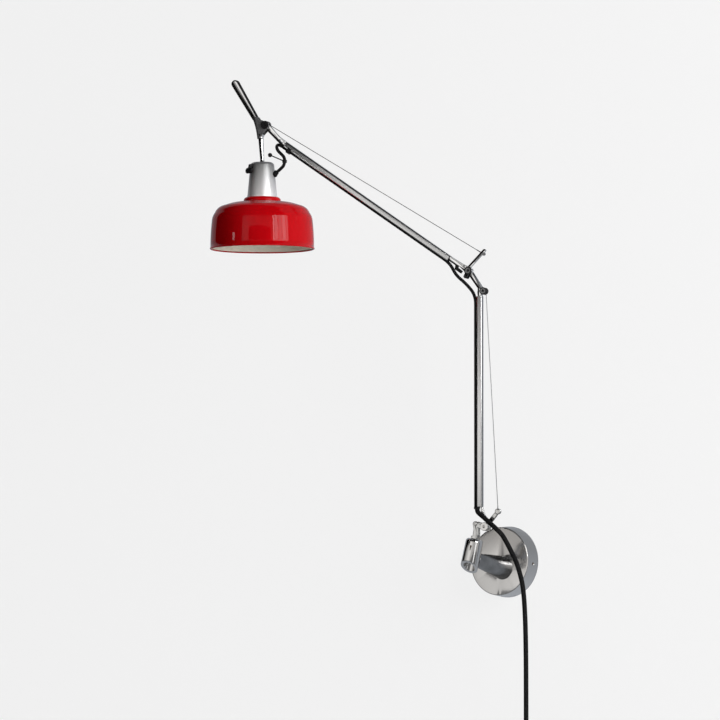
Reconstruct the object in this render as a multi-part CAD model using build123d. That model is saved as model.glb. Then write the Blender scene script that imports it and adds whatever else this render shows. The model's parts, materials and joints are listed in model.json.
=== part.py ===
from build123d import *
import math
import os

# Articulating wall lamp. Millimetres, +Z up. The wall is the plane Y = 0 and the lamp stands out
# towards -Y. The origin is the middle of the wall rose's back face.

os.makedirs("parts", exist_ok=True)


def polar(start, angle, length):
    a = math.radians(angle)
    return (start[0] + length * math.cos(a), start[1] + length * math.sin(a))


def shifted(point, along_by, up_by):
    return (point[0] + along_by, point[1] + up_by)


# ---- driving dimensions ----------------------------------------------------------------------
# wall rose
ROSE_R = 55.0
ROSE_TAPER = 2.2
ROSE_FRONT_R = ROSE_R - ROSE_TAPER
ROSE_DEPTH = 26.3
ROSE_WALL = 2.0
PLATE_THICKNESS = 5.0
PLATE_GAP = 0.3
WALL_SCREW_SPACING = 70.0
WALL_SCREW_R = 2.6
SET_SCREW_R = 2.0
SET_SCREW_LENGTH = 5.0
SET_SCREW_FROM_WALL = 13.0
STUD_R = 6.0
STUD_FLOOR = 1.0
STUD_BOSS_R = 14.0
LUG_LENGTH = 14.5
LUG_WIDTH = 10.0

# neck and leaning barrel
NECK_ROOT_R = 18.5
NECK_TIP_R = 9.5
NECK_DROP = 10.0
NECK_SIDE = 6.0
BARREL_OUT = 104.0
BARREL_Z = 5.4
BARREL_R = 13.8
BARREL_LEAN = 12.8
BARREL_ABOVE = 26.2
BARREL_DOME = 5.0
BARREL_BELOW = 17.6
BARREL_SLANT = 33.0
BUSH_R = 8.2
BUSH_BELOW = 4.0
COUNTERBORE_R = 9.3
SPIGOT_R = 5.2
RUNNING_FIT = 0.05
GAP = 0.3

# the plane in which the arm swings up and down, and the tubes' section
ARM_TURN = 15.4
TUBE_LENGTH = 325.5
TUBE_U = 9.8
TUBE_W = 9.4
TUBE_CORNER = 3.0
BORE_R = 2.4
BORE_SHIFT = 1.6
GROOVE_DEPTH = 0.4
HEAD_GROOVE_DEPTH = 2.2
STEM_IN = 1.6
STEM_W = 1.8
UPPER_STEM_IN = 0.8
CAP_THICKNESS = 1.0
SPRING_FROM = 60.0
SPRING_END_ROOM = 75.5
SPRING_WIRE = 0.7

# cords
CORD_R = 3.7
HEAD_CORD_R = 2.5
CORD_OUT = TUBE_U / 2 - GROOVE_DEPTH + HEAD_CORD_R
HEAD_CORD_OUT = TUBE_U / 2 - HEAD_GROOVE_DEPTH + HEAD_CORD_R
CORD_LEAVES = 12.0
CORD_ENTERS = 6.0
GROMMET = 3.5

# joints of the arm, as (along the arm's plane, height); each stands off the tube it belongs to
LOWER_PIVOT = (23.5, 49.5)
CROSS_BOLT = (8.9, 53.9)
LOWER_TUBE_AT = (13.9, 80.7)
LOWER_TUBE_TOP = shifted(LOWER_TUBE_AT, 0, TUBE_LENGTH)
LOWER_PULLEY = shifted(LOWER_TUBE_TOP, 7.2, 7.6)
ELBOW_BEND = shifted(LOWER_TUBE_TOP, 1.1, 12.8)
ELBOW_PIVOT = shifted(LOWER_TUBE_TOP, -17.3, 39.7)
ELBOW_CROSS_BOLT = shifted(ELBOW_PIVOT, -4.7, -9.0)
UPPER_ANGLE = 145.4
UPPER_TUBE_START = shifted(ELBOW_PIVOT, -32.6, 19.7)
UPPER_TUBE_END = polar(UPPER_TUBE_START, UPPER_ANGLE, TUBE_LENGTH)
HEAD_PIVOT = shifted(UPPER_TUBE_END, -31.77, 31.17)

# flat links, as half thicknesses from the arm's middle plane
HUB_W = 2.2
TINE_IN = HUB_W + GAP
TINE_OUT = TINE_IN + 1.4
CHEEK_IN = TINE_OUT + GAP
CHEEK_OUT = CHEEK_IN + 1.6
FORK_IN = 6.4
FORK_OUT = 8.4
CAP_W = 2.4
NUT_W = 1.4
PIVOT_BOLT_R = 2.5
HEAD_BOLT_R = 2.0
KNOB_R = 6.1
LOWER_KNOB_R = 6.5
TINE_R = 5.4
TINE_LENGTH = 15.5
STRIP_R = 2.9
LEVER_LENGTH = 30.5
LOWER_LEVER_ANGLE = 50.2
LEVER_R = 2.7
LEVER_HUB_R = 6.4
LEVER_TIP_R = 4.2
LEVER_TIP_W = 3.4
UPPER_LEVER_LENGTH = 39.3
UPPER_LEVER_BAR_ANGLE = 45.6
UPPER_LEVER_ANGLE = 47.3
UPPER_LEVER_SIDE = 3.9
UPPER_LEVER_R = 2.3
UPPER_WIRE_AT = 34.7
BOLT_R = 1.4

# pulleys and wires
PULLEY_R = 5.6
GROOVE_R = 2.6
HEAD_GROOVE_R = 3.2
WIRE_R = 0.55
SHANK_R = 0.8
LOWER_SHANK = 7.6
UPPER_SHANK = 12.6
ANCHOR_PIN_R = 1.2
NIPPLE_R = 2.5
SLOT_W = 1.1
SLOT_FIT = 0.25
UPPER_WIRE_SWING = (-37, 42)

# head
HEAD_TINE_IN = 2.6
HEAD_TINE_OUT = 4.2
HEAD_CHEEK_IN = 4.5
HEAD_CHEEK_OUT = 6.0
ROD_R = 3.4
ROD_TOP_R = 4.6
ROD_PIN_R = 1.5
ROD_PIN = shifted(HEAD_PIVOT, -9.0, -15.5)
ROD_DOT = shifted(HEAD_PIVOT, -6.5, -20.8)
LAMP_U = HEAD_PIVOT[0] - 6.3
CAP_TOP_Z = HEAD_PIVOT[1] - 57.7
CUP_TOP_Z = CAP_TOP_Z - 6.1
CUP_TOP_R = 18.7
CUP_Z = CUP_TOP_Z - 48.7
CUP_R = 23.3
CUP_WALL = 1.4
HANDLE_LENGTH = 63.5
HANDLE_ANGLE = 121.0
HANDLE_TIP_R = 6.0
HANDLE_ROOT_R = 4.4
GRIP_WALL = 1.4

# lampholder and shade
SOCKET_R = 13.2
SHELL_WALL = 0.6
INSULATOR_R = 16.6
SOCKET_DEPTH = 40.0
INSULATOR_TOP_Z = CAP_TOP_Z - 25.9
CONTACT_R = 5.0
CONTACT_STEM_R = 3.2
CONTACT_ROOM = 2.2
SHADE_WALL = 1.4
SHADE_TOP_Z = CUP_Z - 7.2
SOCKET_MOUTH_Z = SHADE_TOP_Z - 12.4
SHADE_TOP_R = 31.0
# the shade's outline as (radius, depth under its top)
SHADE_CROWN = (45.0, 1.3)
SHADE_SHOULDER = (59.3, 5.5)
SHADE_SHOULDER_LOW = (73.8, 17.0)
SHADE_SIDE = (78.4, 28.9)
SHADE_BELLY = (80.0, 46.9)
SHADE_RIM = (80.6, 72.1)
LIP_R = 1.3
COLLAR_R = 28.4
COLLAR_IN_R = 21.0
NUT_R = 24.0
NUT_HEIGHT = 6.0
GLAND_ANGLE = 38.0
GLAND_LENGTH = 7.0
GLAND_ROOT = (LAMP_U + CUP_TOP_R + 0.2, CUP_TOP_Z - 14.0)
SWITCH_TURN = 52.0
SWITCH_R = 13.0

# plug
PIN_SPACING = 19.0
PIN_R = 2.0
PIN_LENGTH = 19.0

CENTRE_MIN = (Align.CENTER, Align.CENTER, Align.MIN)


# ---- helpers -----------------------------------------------------------------------------------
lean = math.radians(ARM_TURN)
arm_plane = Plane(
    origin=(0, -BARREL_OUT, 0),
    x_dir=(math.cos(lean), math.sin(lean), 0),
    z_dir=(math.sin(lean), -math.cos(lean), 0),
)


def save(name, *solids):
    """Write one named sub-part, made of one or more separate solids."""
    shape = solids[0] if len(solids) == 1 else Compound(children=list(solids))
    shape.label = name
    export_step(shape, f"parts/{name}.step")


def arm(shape):
    """Move a shape from the arm's own plane (along, up, towards the viewer) into the room."""
    return arm_plane.location * shape


def save_arm(name, *solids):
    save(name, *[arm(s) for s in solids])


def link(p, q, rp, rq):
    """Outline of a flat link with rounded ends."""
    ends = Pos(*p) * Circle(rp) + Pos(*q) * Circle(rq)
    return make_hull(ends.edges())


def slab(outline, low, high):
    """A flat piece between two distances from the arm's middle plane."""
    return extrude(Pos(0, 0, low) * outline, high - low)


def pair(outline, inner, outer):
    """Two equal flat pieces, one each side of the arm's middle plane."""
    return [slab(outline, inner, outer), slab(outline, -outer, -inner)]


def disc(p, r, low, high):
    return slab(Pos(*p) * Circle(r), low, high)


def rod(p, q, r):
    """A round bar between two points of the arm's frame."""
    axis = Vector(*q) - Vector(*p)
    return Plane(origin=p, z_dir=axis).location * Cylinder(r, axis.length, align=CENTRE_MIN)


def pivot_bolt(p, r, knob_r, inner):
    """Through bolt with a rounded cap outside the front cheek and a thin nut behind."""
    cap = fillet(disc(p, knob_r, inner, inner + CAP_W).edges().group_by(Axis.Z)[-1], 0.7)
    nut = slab(Pos(*p) * RegularPolygon(r + 1.8, 6), -inner - NUT_W, -inner)
    return disc(p, r, -inner, inner) + cap + nut


def hex_recess(p, across, top, depth):
    """The socket of a hexagon-key screw, sunk from top."""
    return slab(Pos(*p) * RegularPolygon(across / 2, 6, major_radius=False), top - depth, top)


def tube_plane(start, angle):
    """Plane across an arm tube: X is the side away from the cord, Z runs along the tube."""
    a = math.radians(angle)
    return Plane(origin=(*start, 0), x_dir=(math.sin(a), -math.cos(a), 0), z_dir=(math.cos(a), math.sin(a), 0))


def tube_outline():
    return RectangleRounded(TUBE_U, TUBE_W, TUBE_CORNER)


def groove_outline(cord_r, cord_out):
    """The channel that carries the cord: it has a round bottom and is open on the cord's side."""
    return Pos(-cord_out, 0) * Circle(cord_r + RUNNING_FIT)


def arm_tube(start, angle, cord_r, cord_out):
    section = tube_outline() - groove_outline(cord_r, cord_out) - Pos(BORE_SHIFT, 0) * Circle(BORE_R)
    return tube_plane(start, angle).location * extrude(section, TUBE_LENGTH)


def along(start, angle, distance, side=0.0, w=0.0):
    """A point at a distance along a tube and to the side of its axis, away from the cord."""
    p = polar(start, angle, distance)
    q = polar(p, angle - 90, side)
    return (q[0], q[1], w)


def cord_path(points):
    """Straight runs joined by tangent arcs, each as large as its two runs allow."""
    vectors = [Vector(*p) for p in points]
    radii = []
    for before, here, after in zip(vectors, vectors[1:], vectors[2:]):
        turn = math.radians((here - before).get_angle(after - here))
        shorter = min((here - before).length, (after - here).length)
        radii.append(0.45 * shorter / math.tan(turn / 2))
    return FilletPolyline(*vectors, radius=radii), radii


def cord_tube(name, points, r):
    """A cord's round tube along its route; prints its length and bends, and checks its volume."""
    path, radii = cord_path(points)
    tube = sweep(Plane(path @ 0, z_dir=path % 0) * Circle(r), path=path)
    expected = math.pi * r * r * path.length
    tightest = min(radii)
    print(f"{name}: {path.length:.1f} mm long, tightest bend {tightest:.1f} mm, "
          f"volume {tube.volume / expected:.4f} of section times length")
    return tube


# ---- wall rose ----------------------------------------------------------------------------------
def wall_rose():
    turn_y = Plane.XY  # the rose is turned about the Y axis

    def turned(*points):
        return revolve(turn_y * make_face(Polyline(*points, close=True)), axis=Axis.Y)

    top = -ROSE_DEPTH
    inner_r = ROSE_R - ROSE_WALL
    cover = turned((0, top), (ROSE_FRONT_R, top), (ROSE_R, 0), (inner_r, 0),
                   (ROSE_FRONT_R - ROSE_WALL, top + ROSE_WALL), (0, top + ROSE_WALL))
    stud_hole = Rot(90, 0, 0) * Cylinder(STUD_R + GAP, 4 * ROSE_DEPTH)
    cover = fillet(cover.edges().filter_by(GeomType.CIRCLE).sort_by(Axis.Y)[0], 0.8) - stud_hole

    plate_r = inner_r - PLATE_GAP
    front_room = ROSE_FRONT_R - ROSE_WALL - PLATE_GAP
    boss_top = top + ROSE_WALL
    plate = turned((0, 0), (plate_r, 0), (plate_r - 0.2, -PLATE_THICKNESS),
                   (STUD_BOSS_R, -PLATE_THICKNESS), (STUD_BOSS_R, boss_top), (0, boss_top))
    plate -= Pos(0, -STUD_FLOOR, 0) * Rot(90, 0, 0) * Cylinder(STUD_R, 4 * ROSE_DEPTH, align=CENTRE_MIN)
    for side in (-1, 1):
        hole = Rot(90, 0, 0) * Cylinder(WALL_SCREW_R, 4 * PLATE_THICKNESS)
        plate -= Pos(side * WALL_SCREW_SPACING / 2, 0, 0) * hole

    screws = []
    for angle in (5, 95, 185, 275):
        turn = Rot(0, angle, 0) * Pos(0, -SET_SCREW_FROM_WALL, 0) * Rot(0, 90, 0)
        screw = Cylinder(SET_SCREW_R, SET_SCREW_LENGTH, align=CENTRE_MIN)
        socket = extrude(RegularPolygon(1.0, 6), SET_SCREW_LENGTH / 2)
        screw -= Pos(0, 0, SET_SCREW_LENGTH / 2) * socket
        start = ROSE_R - SET_SCREW_LENGTH - 1.4
        cover -= turn * Pos(0, 0, start) * Cylinder(SET_SCREW_R, 20, align=CENTRE_MIN)
        screws.append(turn * Pos(0, 0, start) * screw)
        lug_depth = SET_SCREW_FROM_WALL + 2 * SET_SCREW_R
        lug = Box(LUG_LENGTH, lug_depth, LUG_WIDTH, align=(Align.MAX, Align.MAX, Align.CENTER))
        lug = Rot(0, angle, 0) * Pos(plate_r, 0, 0) * lug
        rim = Rot(90, 0, 0) * Cylinder(front_room, 4 * ROSE_DEPTH)
        lug = (lug & rim) - turn * Pos(0, 0, start) * Cylinder(SET_SCREW_R, 20, align=CENTRE_MIN)
        plate += lug
    save("wall_plate", plate)
    save("rose_cover", cover)
    save("rose_set_screws", *screws)


# ---- leaning barrel, its bush and the neck that carries it --------------------------------------
barrel_axis = Plane(
    origin=(0, BARREL_Z, 0),
    x_dir=(math.cos(math.radians(BARREL_LEAN)), -math.sin(math.radians(BARREL_LEAN)), 0),
    z_dir=(math.sin(math.radians(BARREL_LEAN)), math.cos(math.radians(BARREL_LEAN)), 0),
)


def on_barrel(shape):
    """Move a shape made upright about Z onto the barrel's leaning axis, in the arm's frame."""
    return barrel_axis.location * shape


def round_bar(r, low, high):
    return Pos(0, 0, low) * Cylinder(r, high - low, align=CENTRE_MIN)


def wall_bracket():
    length = BARREL_BELOW + BARREL_R
    blank = fillet(round_bar(BARREL_R, -length, BARREL_ABOVE).edges().group_by(Axis.Z)[-1], BARREL_DOME)
    # the lower end is cut on the slant, its open face turned down and to the viewer
    cutter = Pos(0, 0, -BARREL_BELOW) * Rot(-BARREL_SLANT, 0, 0) * Box(
        80, 80, 60, align=(Align.CENTER, Align.CENTER, Align.MAX))
    barrel = blank - cutter
    barrel -= round_bar(BUSH_R, -BUSH_BELOW, BARREL_ABOVE)
    barrel -= round_bar(COUNTERBORE_R, -length, -BUSH_BELOW)
    grub_at = Pos(0, 0, BARREL_ABOVE - 12) * Rot(90, 0, 0)
    grub_hole = grub_at * round_bar(1.5, BUSH_R, BARREL_R + 2)
    barrel -= grub_hole
    grub = grub_at * (round_bar(1.5, BUSH_R, BARREL_R - 1) - Pos(0, 0, BARREL_R - 2.6) * extrude(
        RegularPolygon(0.8, 6), 3))
    bush = round_bar(BUSH_R, -BUSH_BELOW, BARREL_ABOVE) - round_bar(
        SPIGOT_R + RUNNING_FIT, -BUSH_BELOW, BARREL_ABOVE)

    root = Plane(origin=(NECK_SIDE, -ROSE_DEPTH, -NECK_DROP), z_dir=(0, -1, 0)) * Circle(NECK_ROOT_R)
    tip = Plane(origin=(0, -BARREL_OUT + BARREL_R / 2, 0), z_dir=(0, -1, 0)) * Circle(NECK_TIP_R)
    neck = loft([root, tip])
    stud = Pos(0, -ROSE_DEPTH, 0) * Rot(-90, 0, 0) * Cylinder(
        STUD_R, ROSE_DEPTH - STUD_FLOOR, align=CENTRE_MIN)
    neck = neck + stud - arm(on_barrel(round_bar(BARREL_R, -60, 60)))
    save_arm("swivel_barrel", on_barrel(barrel))
    save_arm("barrel_grub_screw", on_barrel(grub))
    save_arm("swivel_bush", on_barrel(bush))
    save("bracket_neck", neck)


# ---- swivelling fork on the barrel, with the lower lever ----------------------------------------
def spigot_fork():
    screw_r = 2.5
    base = BARREL_ABOVE + 0.1
    shaft = round_bar(SPIGOT_R, -BUSH_BELOW - 0.1, base + 1) - round_bar(screw_r, -20, 10)
    bridge = Pos(0, 0, base) * Box(9.0, 2 * FORK_OUT, 4.0, align=CENTRE_MIN)
    # two slim struts, each with an eye for the cross bolt and a lobe for the arm's pivot
    strut_foot = (7.9, 34.5)
    strut_waist = (8.6, 46.0)
    outline = (link(strut_foot, strut_waist, 3.6, 2.6) + link(strut_waist, CROSS_BOLT, 2.6, 4.2)
               + link(CROSS_BOLT, LOWER_PIVOT, 3.4, 5.6))
    cheeks = pair(outline, FORK_IN, FORK_OUT)
    bosses = pair(Pos(*LOWER_PIVOT) * Circle(3.8), CHEEK_IN, FORK_IN)
    fork = on_barrel(shaft + bridge) + cheeks[0] + cheeks[1] + bosses[0] + bosses[1]
    fork -= disc(LOWER_PIVOT, PIVOT_BOLT_R, -20, 20)
    fork -= disc(CROSS_BOLT, BOLT_R, -20, 20)
    save_arm("spigot_fork", fork)

    washer = round_bar(8.4, -BUSH_BELOW - 1.7, -BUSH_BELOW - 0.1) - round_bar(screw_r, -20, 10)
    head_top = -BUSH_BELOW - 1.7
    head = chamfer(round_bar(5.6, head_top - 4.5, head_top).edges().group_by(Axis.Z)[0], 0.6)
    socket = Pos(0, 0, head_top - 4.5) * extrude(RegularPolygon(2.5, 6), 2.6)
    screw = head + round_bar(screw_r, head_top, 9.8) - socket
    save_arm("spigot_retaining_screw", on_barrel(washer), on_barrel(screw))

    bolt = pivot_bolt(LOWER_PIVOT, PIVOT_BOLT_R, LOWER_KNOB_R, FORK_OUT)
    bolt -= hex_recess(LOWER_PIVOT, 2.6, FORK_OUT + CAP_W, 1.6)
    cross = pivot_bolt(CROSS_BOLT, BOLT_R, 2.8, FORK_OUT)
    save_arm("fork_bolts", bolt, cross - hex_recess(CROSS_BOLT, 2, FORK_OUT + CAP_W, 1.2))


lower_anchor = polar(LOWER_PIVOT, LOWER_LEVER_ANGLE, LEVER_LENGTH)
upper_anchor = polar(ELBOW_PIVOT, UPPER_LEVER_ANGLE, UPPER_WIRE_AT)


def wire_ends(anchor, wheel, groove_r):
    """The way a wire leaves its anchor, and how far it runs to where it touches its pulley."""
    dx, dy = wheel[0] - anchor[0], wheel[1] - anchor[1]
    reach = math.hypot(dx, dy)
    angle = math.degrees(math.atan2(dy, dx)) - math.degrees(math.asin(groove_r / reach))
    length = math.sqrt(reach ** 2 - groove_r ** 2)
    return angle, length


def levers():
    hub = Pos(*LOWER_PIVOT) * Circle(LEVER_HUB_R)
    bar = link(LOWER_PIVOT, lower_anchor, LEVER_R * 1.25, LEVER_R)
    lower = slab(hub + bar + Pos(*lower_anchor) * Circle(LEVER_TIP_R), -HUB_W, HUB_W)
    lower += disc(lower_anchor, LEVER_TIP_R, -LEVER_TIP_W, LEVER_TIP_W)
    lower -= disc(LOWER_PIVOT, PIVOT_BOLT_R, -20, 20) + disc(lower_anchor, ANCHOR_PIN_R, -20, 20)
    lower -= disc(lower_anchor, LEVER_TIP_R + 1, -SLOT_W - 0.2, SLOT_W + 0.2)
    save_arm("lower_lever", lower, disc(lower_anchor, ANCHOR_PIN_R, -LEVER_TIP_W, LEVER_TIP_W))

    # the upper lever's bar stands beside the line to the wire's nipple, which seats in its edge
    root = polar(ELBOW_PIVOT, UPPER_LEVER_BAR_ANGLE + 90, UPPER_LEVER_SIDE)
    tip = polar(root, UPPER_LEVER_BAR_ANGLE, UPPER_LEVER_LENGTH)
    hub = Pos(*ELBOW_PIVOT) * Circle(UPPER_LEVER_SIDE + UPPER_LEVER_R - 0.8)
    upper = slab(hub + link(root, tip, UPPER_LEVER_R, UPPER_LEVER_R), -HUB_W, HUB_W)
    upper -= disc(ELBOW_PIVOT, PIVOT_BOLT_R, -20, 20)
    upper -= disc(upper_anchor, NIPPLE_R + RUNNING_FIT, -20, 20)
    # the wire swings in a fan-shaped slot as the arm tilts
    angle, _ = wire_ends(upper_anchor, HEAD_PIVOT, HEAD_GROOVE_R)
    fan = make_face(Polyline(upper_anchor, polar(upper_anchor, angle - 44, 14),
                             polar(upper_anchor, angle + 48, 16), close=True))
    for swing in UPPER_WIRE_SWING:
        far = polar(upper_anchor, angle + swing, 14)
        fan += link(upper_anchor, far, SHANK_R + SLOT_FIT, SHANK_R + SLOT_FIT)
    upper -= slab(fan, -SLOT_W, SLOT_W)
    save_arm("upper_lever", upper)


# ---- arm tubes -----------------------------------------------------------------------------------
def foot(start, angle, pivot, stem_in, stem_w):
    """End piece of a tube: a plug in the tube's end, a stem and two tines on the pivot."""
    base = tube_plane(start, angle)
    stem_mid = (stem_in + TUBE_U / 2) / 2
    stem_r = (TUBE_U / 2 - stem_in) / 2 - 0.2
    near = along(start, angle, -CAP_THICKNESS - stem_r, stem_mid)[:2]
    reach = math.hypot(pivot[0] - near[0], pivot[1] - near[1])
    share = TINE_LENGTH / reach
    split = (pivot[0] + share * (near[0] - pivot[0]), pivot[1] + share * (near[1] - pivot[1]))
    stem = slab(link(near, split, stem_r, 3.0), -stem_w, stem_w)
    tines = pair(link(split, pivot, 3.0, TINE_R), TINE_IN, TINE_OUT)
    crotch = disc(split, 3.0, -TINE_OUT, TINE_OUT)
    hub_room = disc(pivot, TINE_LENGTH - 3.0, -TINE_IN, TINE_IN)
    block = base.location * Pos(stem_mid, 0, -CAP_THICKNESS - stem_r) * Box(
        2 * stem_r, 2 * stem_w, stem_r, align=CENTRE_MIN)
    plug = base.location * Pos(BORE_SHIFT, 0, -CAP_THICKNESS) * Cylinder(
        BORE_R, CAP_THICKNESS + 12, align=CENTRE_MIN)
    piece = stem + crotch - hub_room + tines[0] + tines[1] + block + plug
    return piece - disc(pivot, PIVOT_BOLT_R + RUNNING_FIT, -20, 20)


def end_cap(start, angle, cord_r, cord_out):
    """Thin black cap on a tube's end, pierced for the foot's plug."""
    section = tube_outline() - groove_outline(cord_r, cord_out) - Pos(BORE_SHIFT, 0) * Circle(BORE_R)
    return tube_plane(start, angle).location * Pos(0, 0, -CAP_THICKNESS) * extrude(
        section, CAP_THICKNESS)


def spring_set(start, angle, from_end):
    """Close-wound spring in the bore with its anchor rod, and the wire's tail towards the pulley."""
    base = tube_plane(start, angle).location * Pos(BORE_SHIFT, 0, 0)
    outer = BORE_R - 0.2
    inner = outer - SPRING_WIRE
    top = TUBE_LENGTH - SPRING_END_ROOM
    body = round_bar(outer, SPRING_FROM, top) - round_bar(inner, SPRING_FROM, top)
    anchor = round_bar(SHANK_R, 14, SPRING_FROM + 2) + round_bar(inner, SPRING_FROM, SPRING_FROM + 2)
    tail = round_bar(WIRE_R, top - 2, TUBE_LENGTH - from_end) + round_bar(inner, top - 2, top)
    return [base * solid for solid in (body, anchor, tail)]


def pulley(centre, bore_r, groove_r, half):
    """Grooved wheel that turns on its pin, as wide as its cheeks leave room for."""
    bore = bore_r + RUNNING_FIT
    root = groove_r - WIRE_R
    profile = Polyline((bore, -half), (PULLEY_R, -half), (PULLEY_R, -half + 0.8), (root, -0.7),
                       (root, 0.7), (PULLEY_R, half - 0.8), (PULLEY_R, half), (bore, half), close=True)
    wheel = revolve(Plane.XZ * make_face(profile), axis=Axis.Z)
    return Pos(*centre, 0) * wheel


def lower_arm():
    start = LOWER_TUBE_AT
    save_arm("lower_tube", arm_tube(start, 90, HEAD_CORD_R, CORD_OUT))
    save_arm("lower_foot", foot(start, 90, LOWER_PIVOT, STEM_IN, STEM_W))
    # black grommet under the tube: the thin cord goes in above, the thick lead comes out below
    under = tube_plane(start, 90).location * Pos(0, 0, -GROMMET)
    grommet = extrude(link((-CORD_OUT, 0), (-CORD_OUT + 2.9, 0), HEAD_CORD_R + 0.4, 3.9), GROMMET)
    grommet -= Pos(BORE_SHIFT, 0, 0) * round_bar(BORE_R + GAP, -1, GROMMET + 1)
    way = (Vector(*LEAD_ROUTE[0]) - Vector(*LEAD_ROUTE[1])).normalized()
    seat = rod(tuple(Vector(*LEAD_ROUTE[0]) - way * 3.0), LEAD_ROUTE[0], CORD_R + RUNNING_FIT)
    save_arm("lower_end_cap", under * grommet - seat)
    save_arm("lower_spring", *spring_set(start, 90, 1.0))

    # two narrow strips rise from the tube's end, bend and lean over to the elbow
    top = LOWER_TUBE_TOP
    root = shifted(top, 0.5, STRIP_R)
    outline = (link(root, ELBOW_BEND, STRIP_R - 0.2, STRIP_R) + link(ELBOW_BEND, ELBOW_PIVOT, STRIP_R, 3.4)
               + Pos(*ELBOW_PIVOT) * Circle(KNOB_R - 0.5)
               + link(ELBOW_PIVOT, ELBOW_CROSS_BOLT, 3.6, 2.8)
               + link(shifted(root, 0, 3), LOWER_PULLEY, STRIP_R, 3.6))
    cheeks = pair(outline, CHEEK_IN, CHEEK_OUT)
    yoke = Pos(*root, 0) * Box(2 * STRIP_R - 0.4, 2 * STRIP_R, 2 * CHEEK_IN)
    yoke -= disc(LOWER_PULLEY, PULLEY_R + GAP, -CHEEK_IN + 0.1, CHEEK_IN - 0.1)
    tube_axis = tube_plane(start, 90).location * Pos(BORE_SHIFT, 0, TUBE_LENGTH)
    plug = tube_axis * round_bar(BORE_R, -12, 1)
    wire_hole = tube_axis * round_bar(WIRE_R + 0.5, -14, 8)
    wire_slot = Pos(root[0] + 1, top[1] + 4, 0) * Box(8, 8, 2 * WIRE_R + 1)
    bracket = cheeks[0] + cheeks[1] + yoke + plug - wire_hole - wire_slot
    for centre, r in ((ELBOW_PIVOT, PIVOT_BOLT_R), (LOWER_PULLEY, BOLT_R), (ELBOW_CROSS_BOLT, BOLT_R)):
        bracket -= disc(centre, r, -20, 20)
    save_arm("elbow_bracket", bracket)

    outer = CHEEK_OUT
    elbow_bolt = pivot_bolt(ELBOW_PIVOT, PIVOT_BOLT_R, KNOB_R, outer)
    elbow_bolt -= hex_recess(ELBOW_PIVOT, 5, outer + CAP_W, 1.2)
    cross = pivot_bolt(ELBOW_CROSS_BOLT, BOLT_R, 2.4, outer)
    save_arm("elbow_bolts", elbow_bolt, cross - hex_recess(ELBOW_CROSS_BOLT, 2, outer + CAP_W, 1.0))
    pulley_pin = pivot_bolt(LOWER_PULLEY, BOLT_R, PULLEY_R + 0.1, outer)
    save_arm("lower_pulley_pin", pulley_pin - hex_recess(LOWER_PULLEY, 3, outer + CAP_W, 1.2))
    save_arm("lower_pulley", pulley(LOWER_PULLEY, BOLT_R, GROOVE_R, CHEEK_IN - GAP))


def upper_arm():
    start = UPPER_TUBE_START
    angle = UPPER_ANGLE
    save_arm("upper_tube", arm_tube(start, angle, HEAD_CORD_R, HEAD_CORD_OUT))
    save_arm("upper_foot", foot(start, angle, ELBOW_PIVOT, UPPER_STEM_IN, TINE_OUT))
    # the black end piece goes on as a finger beside the foot's stem, which keeps the cord off it
    finger = [(-1, -0.4), (-1, -2.6), (-15, -2.6), (-17.5, -8.3), (-29, -8.3), (-29, -3.9), (-20, -3.6),
              (-19, -0.4)]
    corners = [along(start, angle, distance, side)[:2] for distance, side in finger]
    cap = end_cap(start, angle, HEAD_CORD_R, HEAD_CORD_OUT)
    save_arm("upper_end_cap", cap + slab(make_face(Polyline(*corners, close=True)), -3.0, 3.0))
    save_arm("upper_spring", *spring_set(start, angle, 1.0))

    # two plates with the cord between them, a block beside it and an oblong window near the tube
    near = along(start, angle, TUBE_LENGTH + 4.5, 0.3)[:2]
    far = along(start, angle, TUBE_LENGTH + 16, 1.6)[:2]
    bend = along(start, angle, TUBE_LENGTH + 23, 3.1)[:2]
    outline = link(near, far, 4.4, 3.4) + link(far, bend, 3.4, 3.5) + link(bend, HEAD_PIVOT, 3.5, 4.6)
    tines = pair(outline, HEAD_TINE_IN, HEAD_TINE_OUT)
    block_side = 1.15
    yoke = tube_plane(start, angle).location * Pos(block_side, 0, TUBE_LENGTH) * Box(
        2 * (2.4 + block_side), 2 * HEAD_TINE_IN, 16, align=CENTRE_MIN)
    window = slab(link(along(start, angle, TUBE_LENGTH + 5.5, 1.2)[:2],
                       along(start, angle, TUBE_LENGTH + 10.5, 1.4)[:2], 1.4, 1.4), -20, 20)
    tube_axis = tube_plane(start, angle).location * Pos(BORE_SHIFT, 0, TUBE_LENGTH)
    plug = tube_axis * round_bar(BORE_R, -12, 2)
    wire_hole = tube_axis * round_bar(WIRE_R + 0.4, -12, 28)
    fitting = tines[0] + tines[1] + yoke + plug - window - wire_hole
    fitting -= disc(HEAD_PIVOT, HEAD_BOLT_R + RUNNING_FIT, -20, 20)
    save_arm("head_fitting", fitting)
    save_arm("head_pulley", pulley(HEAD_PIVOT, HEAD_BOLT_R, HEAD_GROOVE_R, HEAD_TINE_IN - GAP))

    # small black saddle that closes the channel near the head
    saddle_at = tube_plane(start, angle).location * Pos(0, 0, TUBE_LENGTH - 14)
    outer_u = HEAD_CORD_OUT + HEAD_CORD_R + 1.6
    strap = Pos(-outer_u / 2, 0, 0) * RectangleRounded(outer_u, TUBE_W + 2, 2.5)
    cord_room = Pos(-HEAD_CORD_OUT, 0) * Circle(HEAD_CORD_R)
    cord_room += Pos(-HEAD_CORD_OUT / 2, 0) * Rectangle(HEAD_CORD_OUT, 2 * HEAD_CORD_R)
    save_arm("cord_saddle", saddle_at * extrude(strap - tube_outline() - cord_room, 6))


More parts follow.
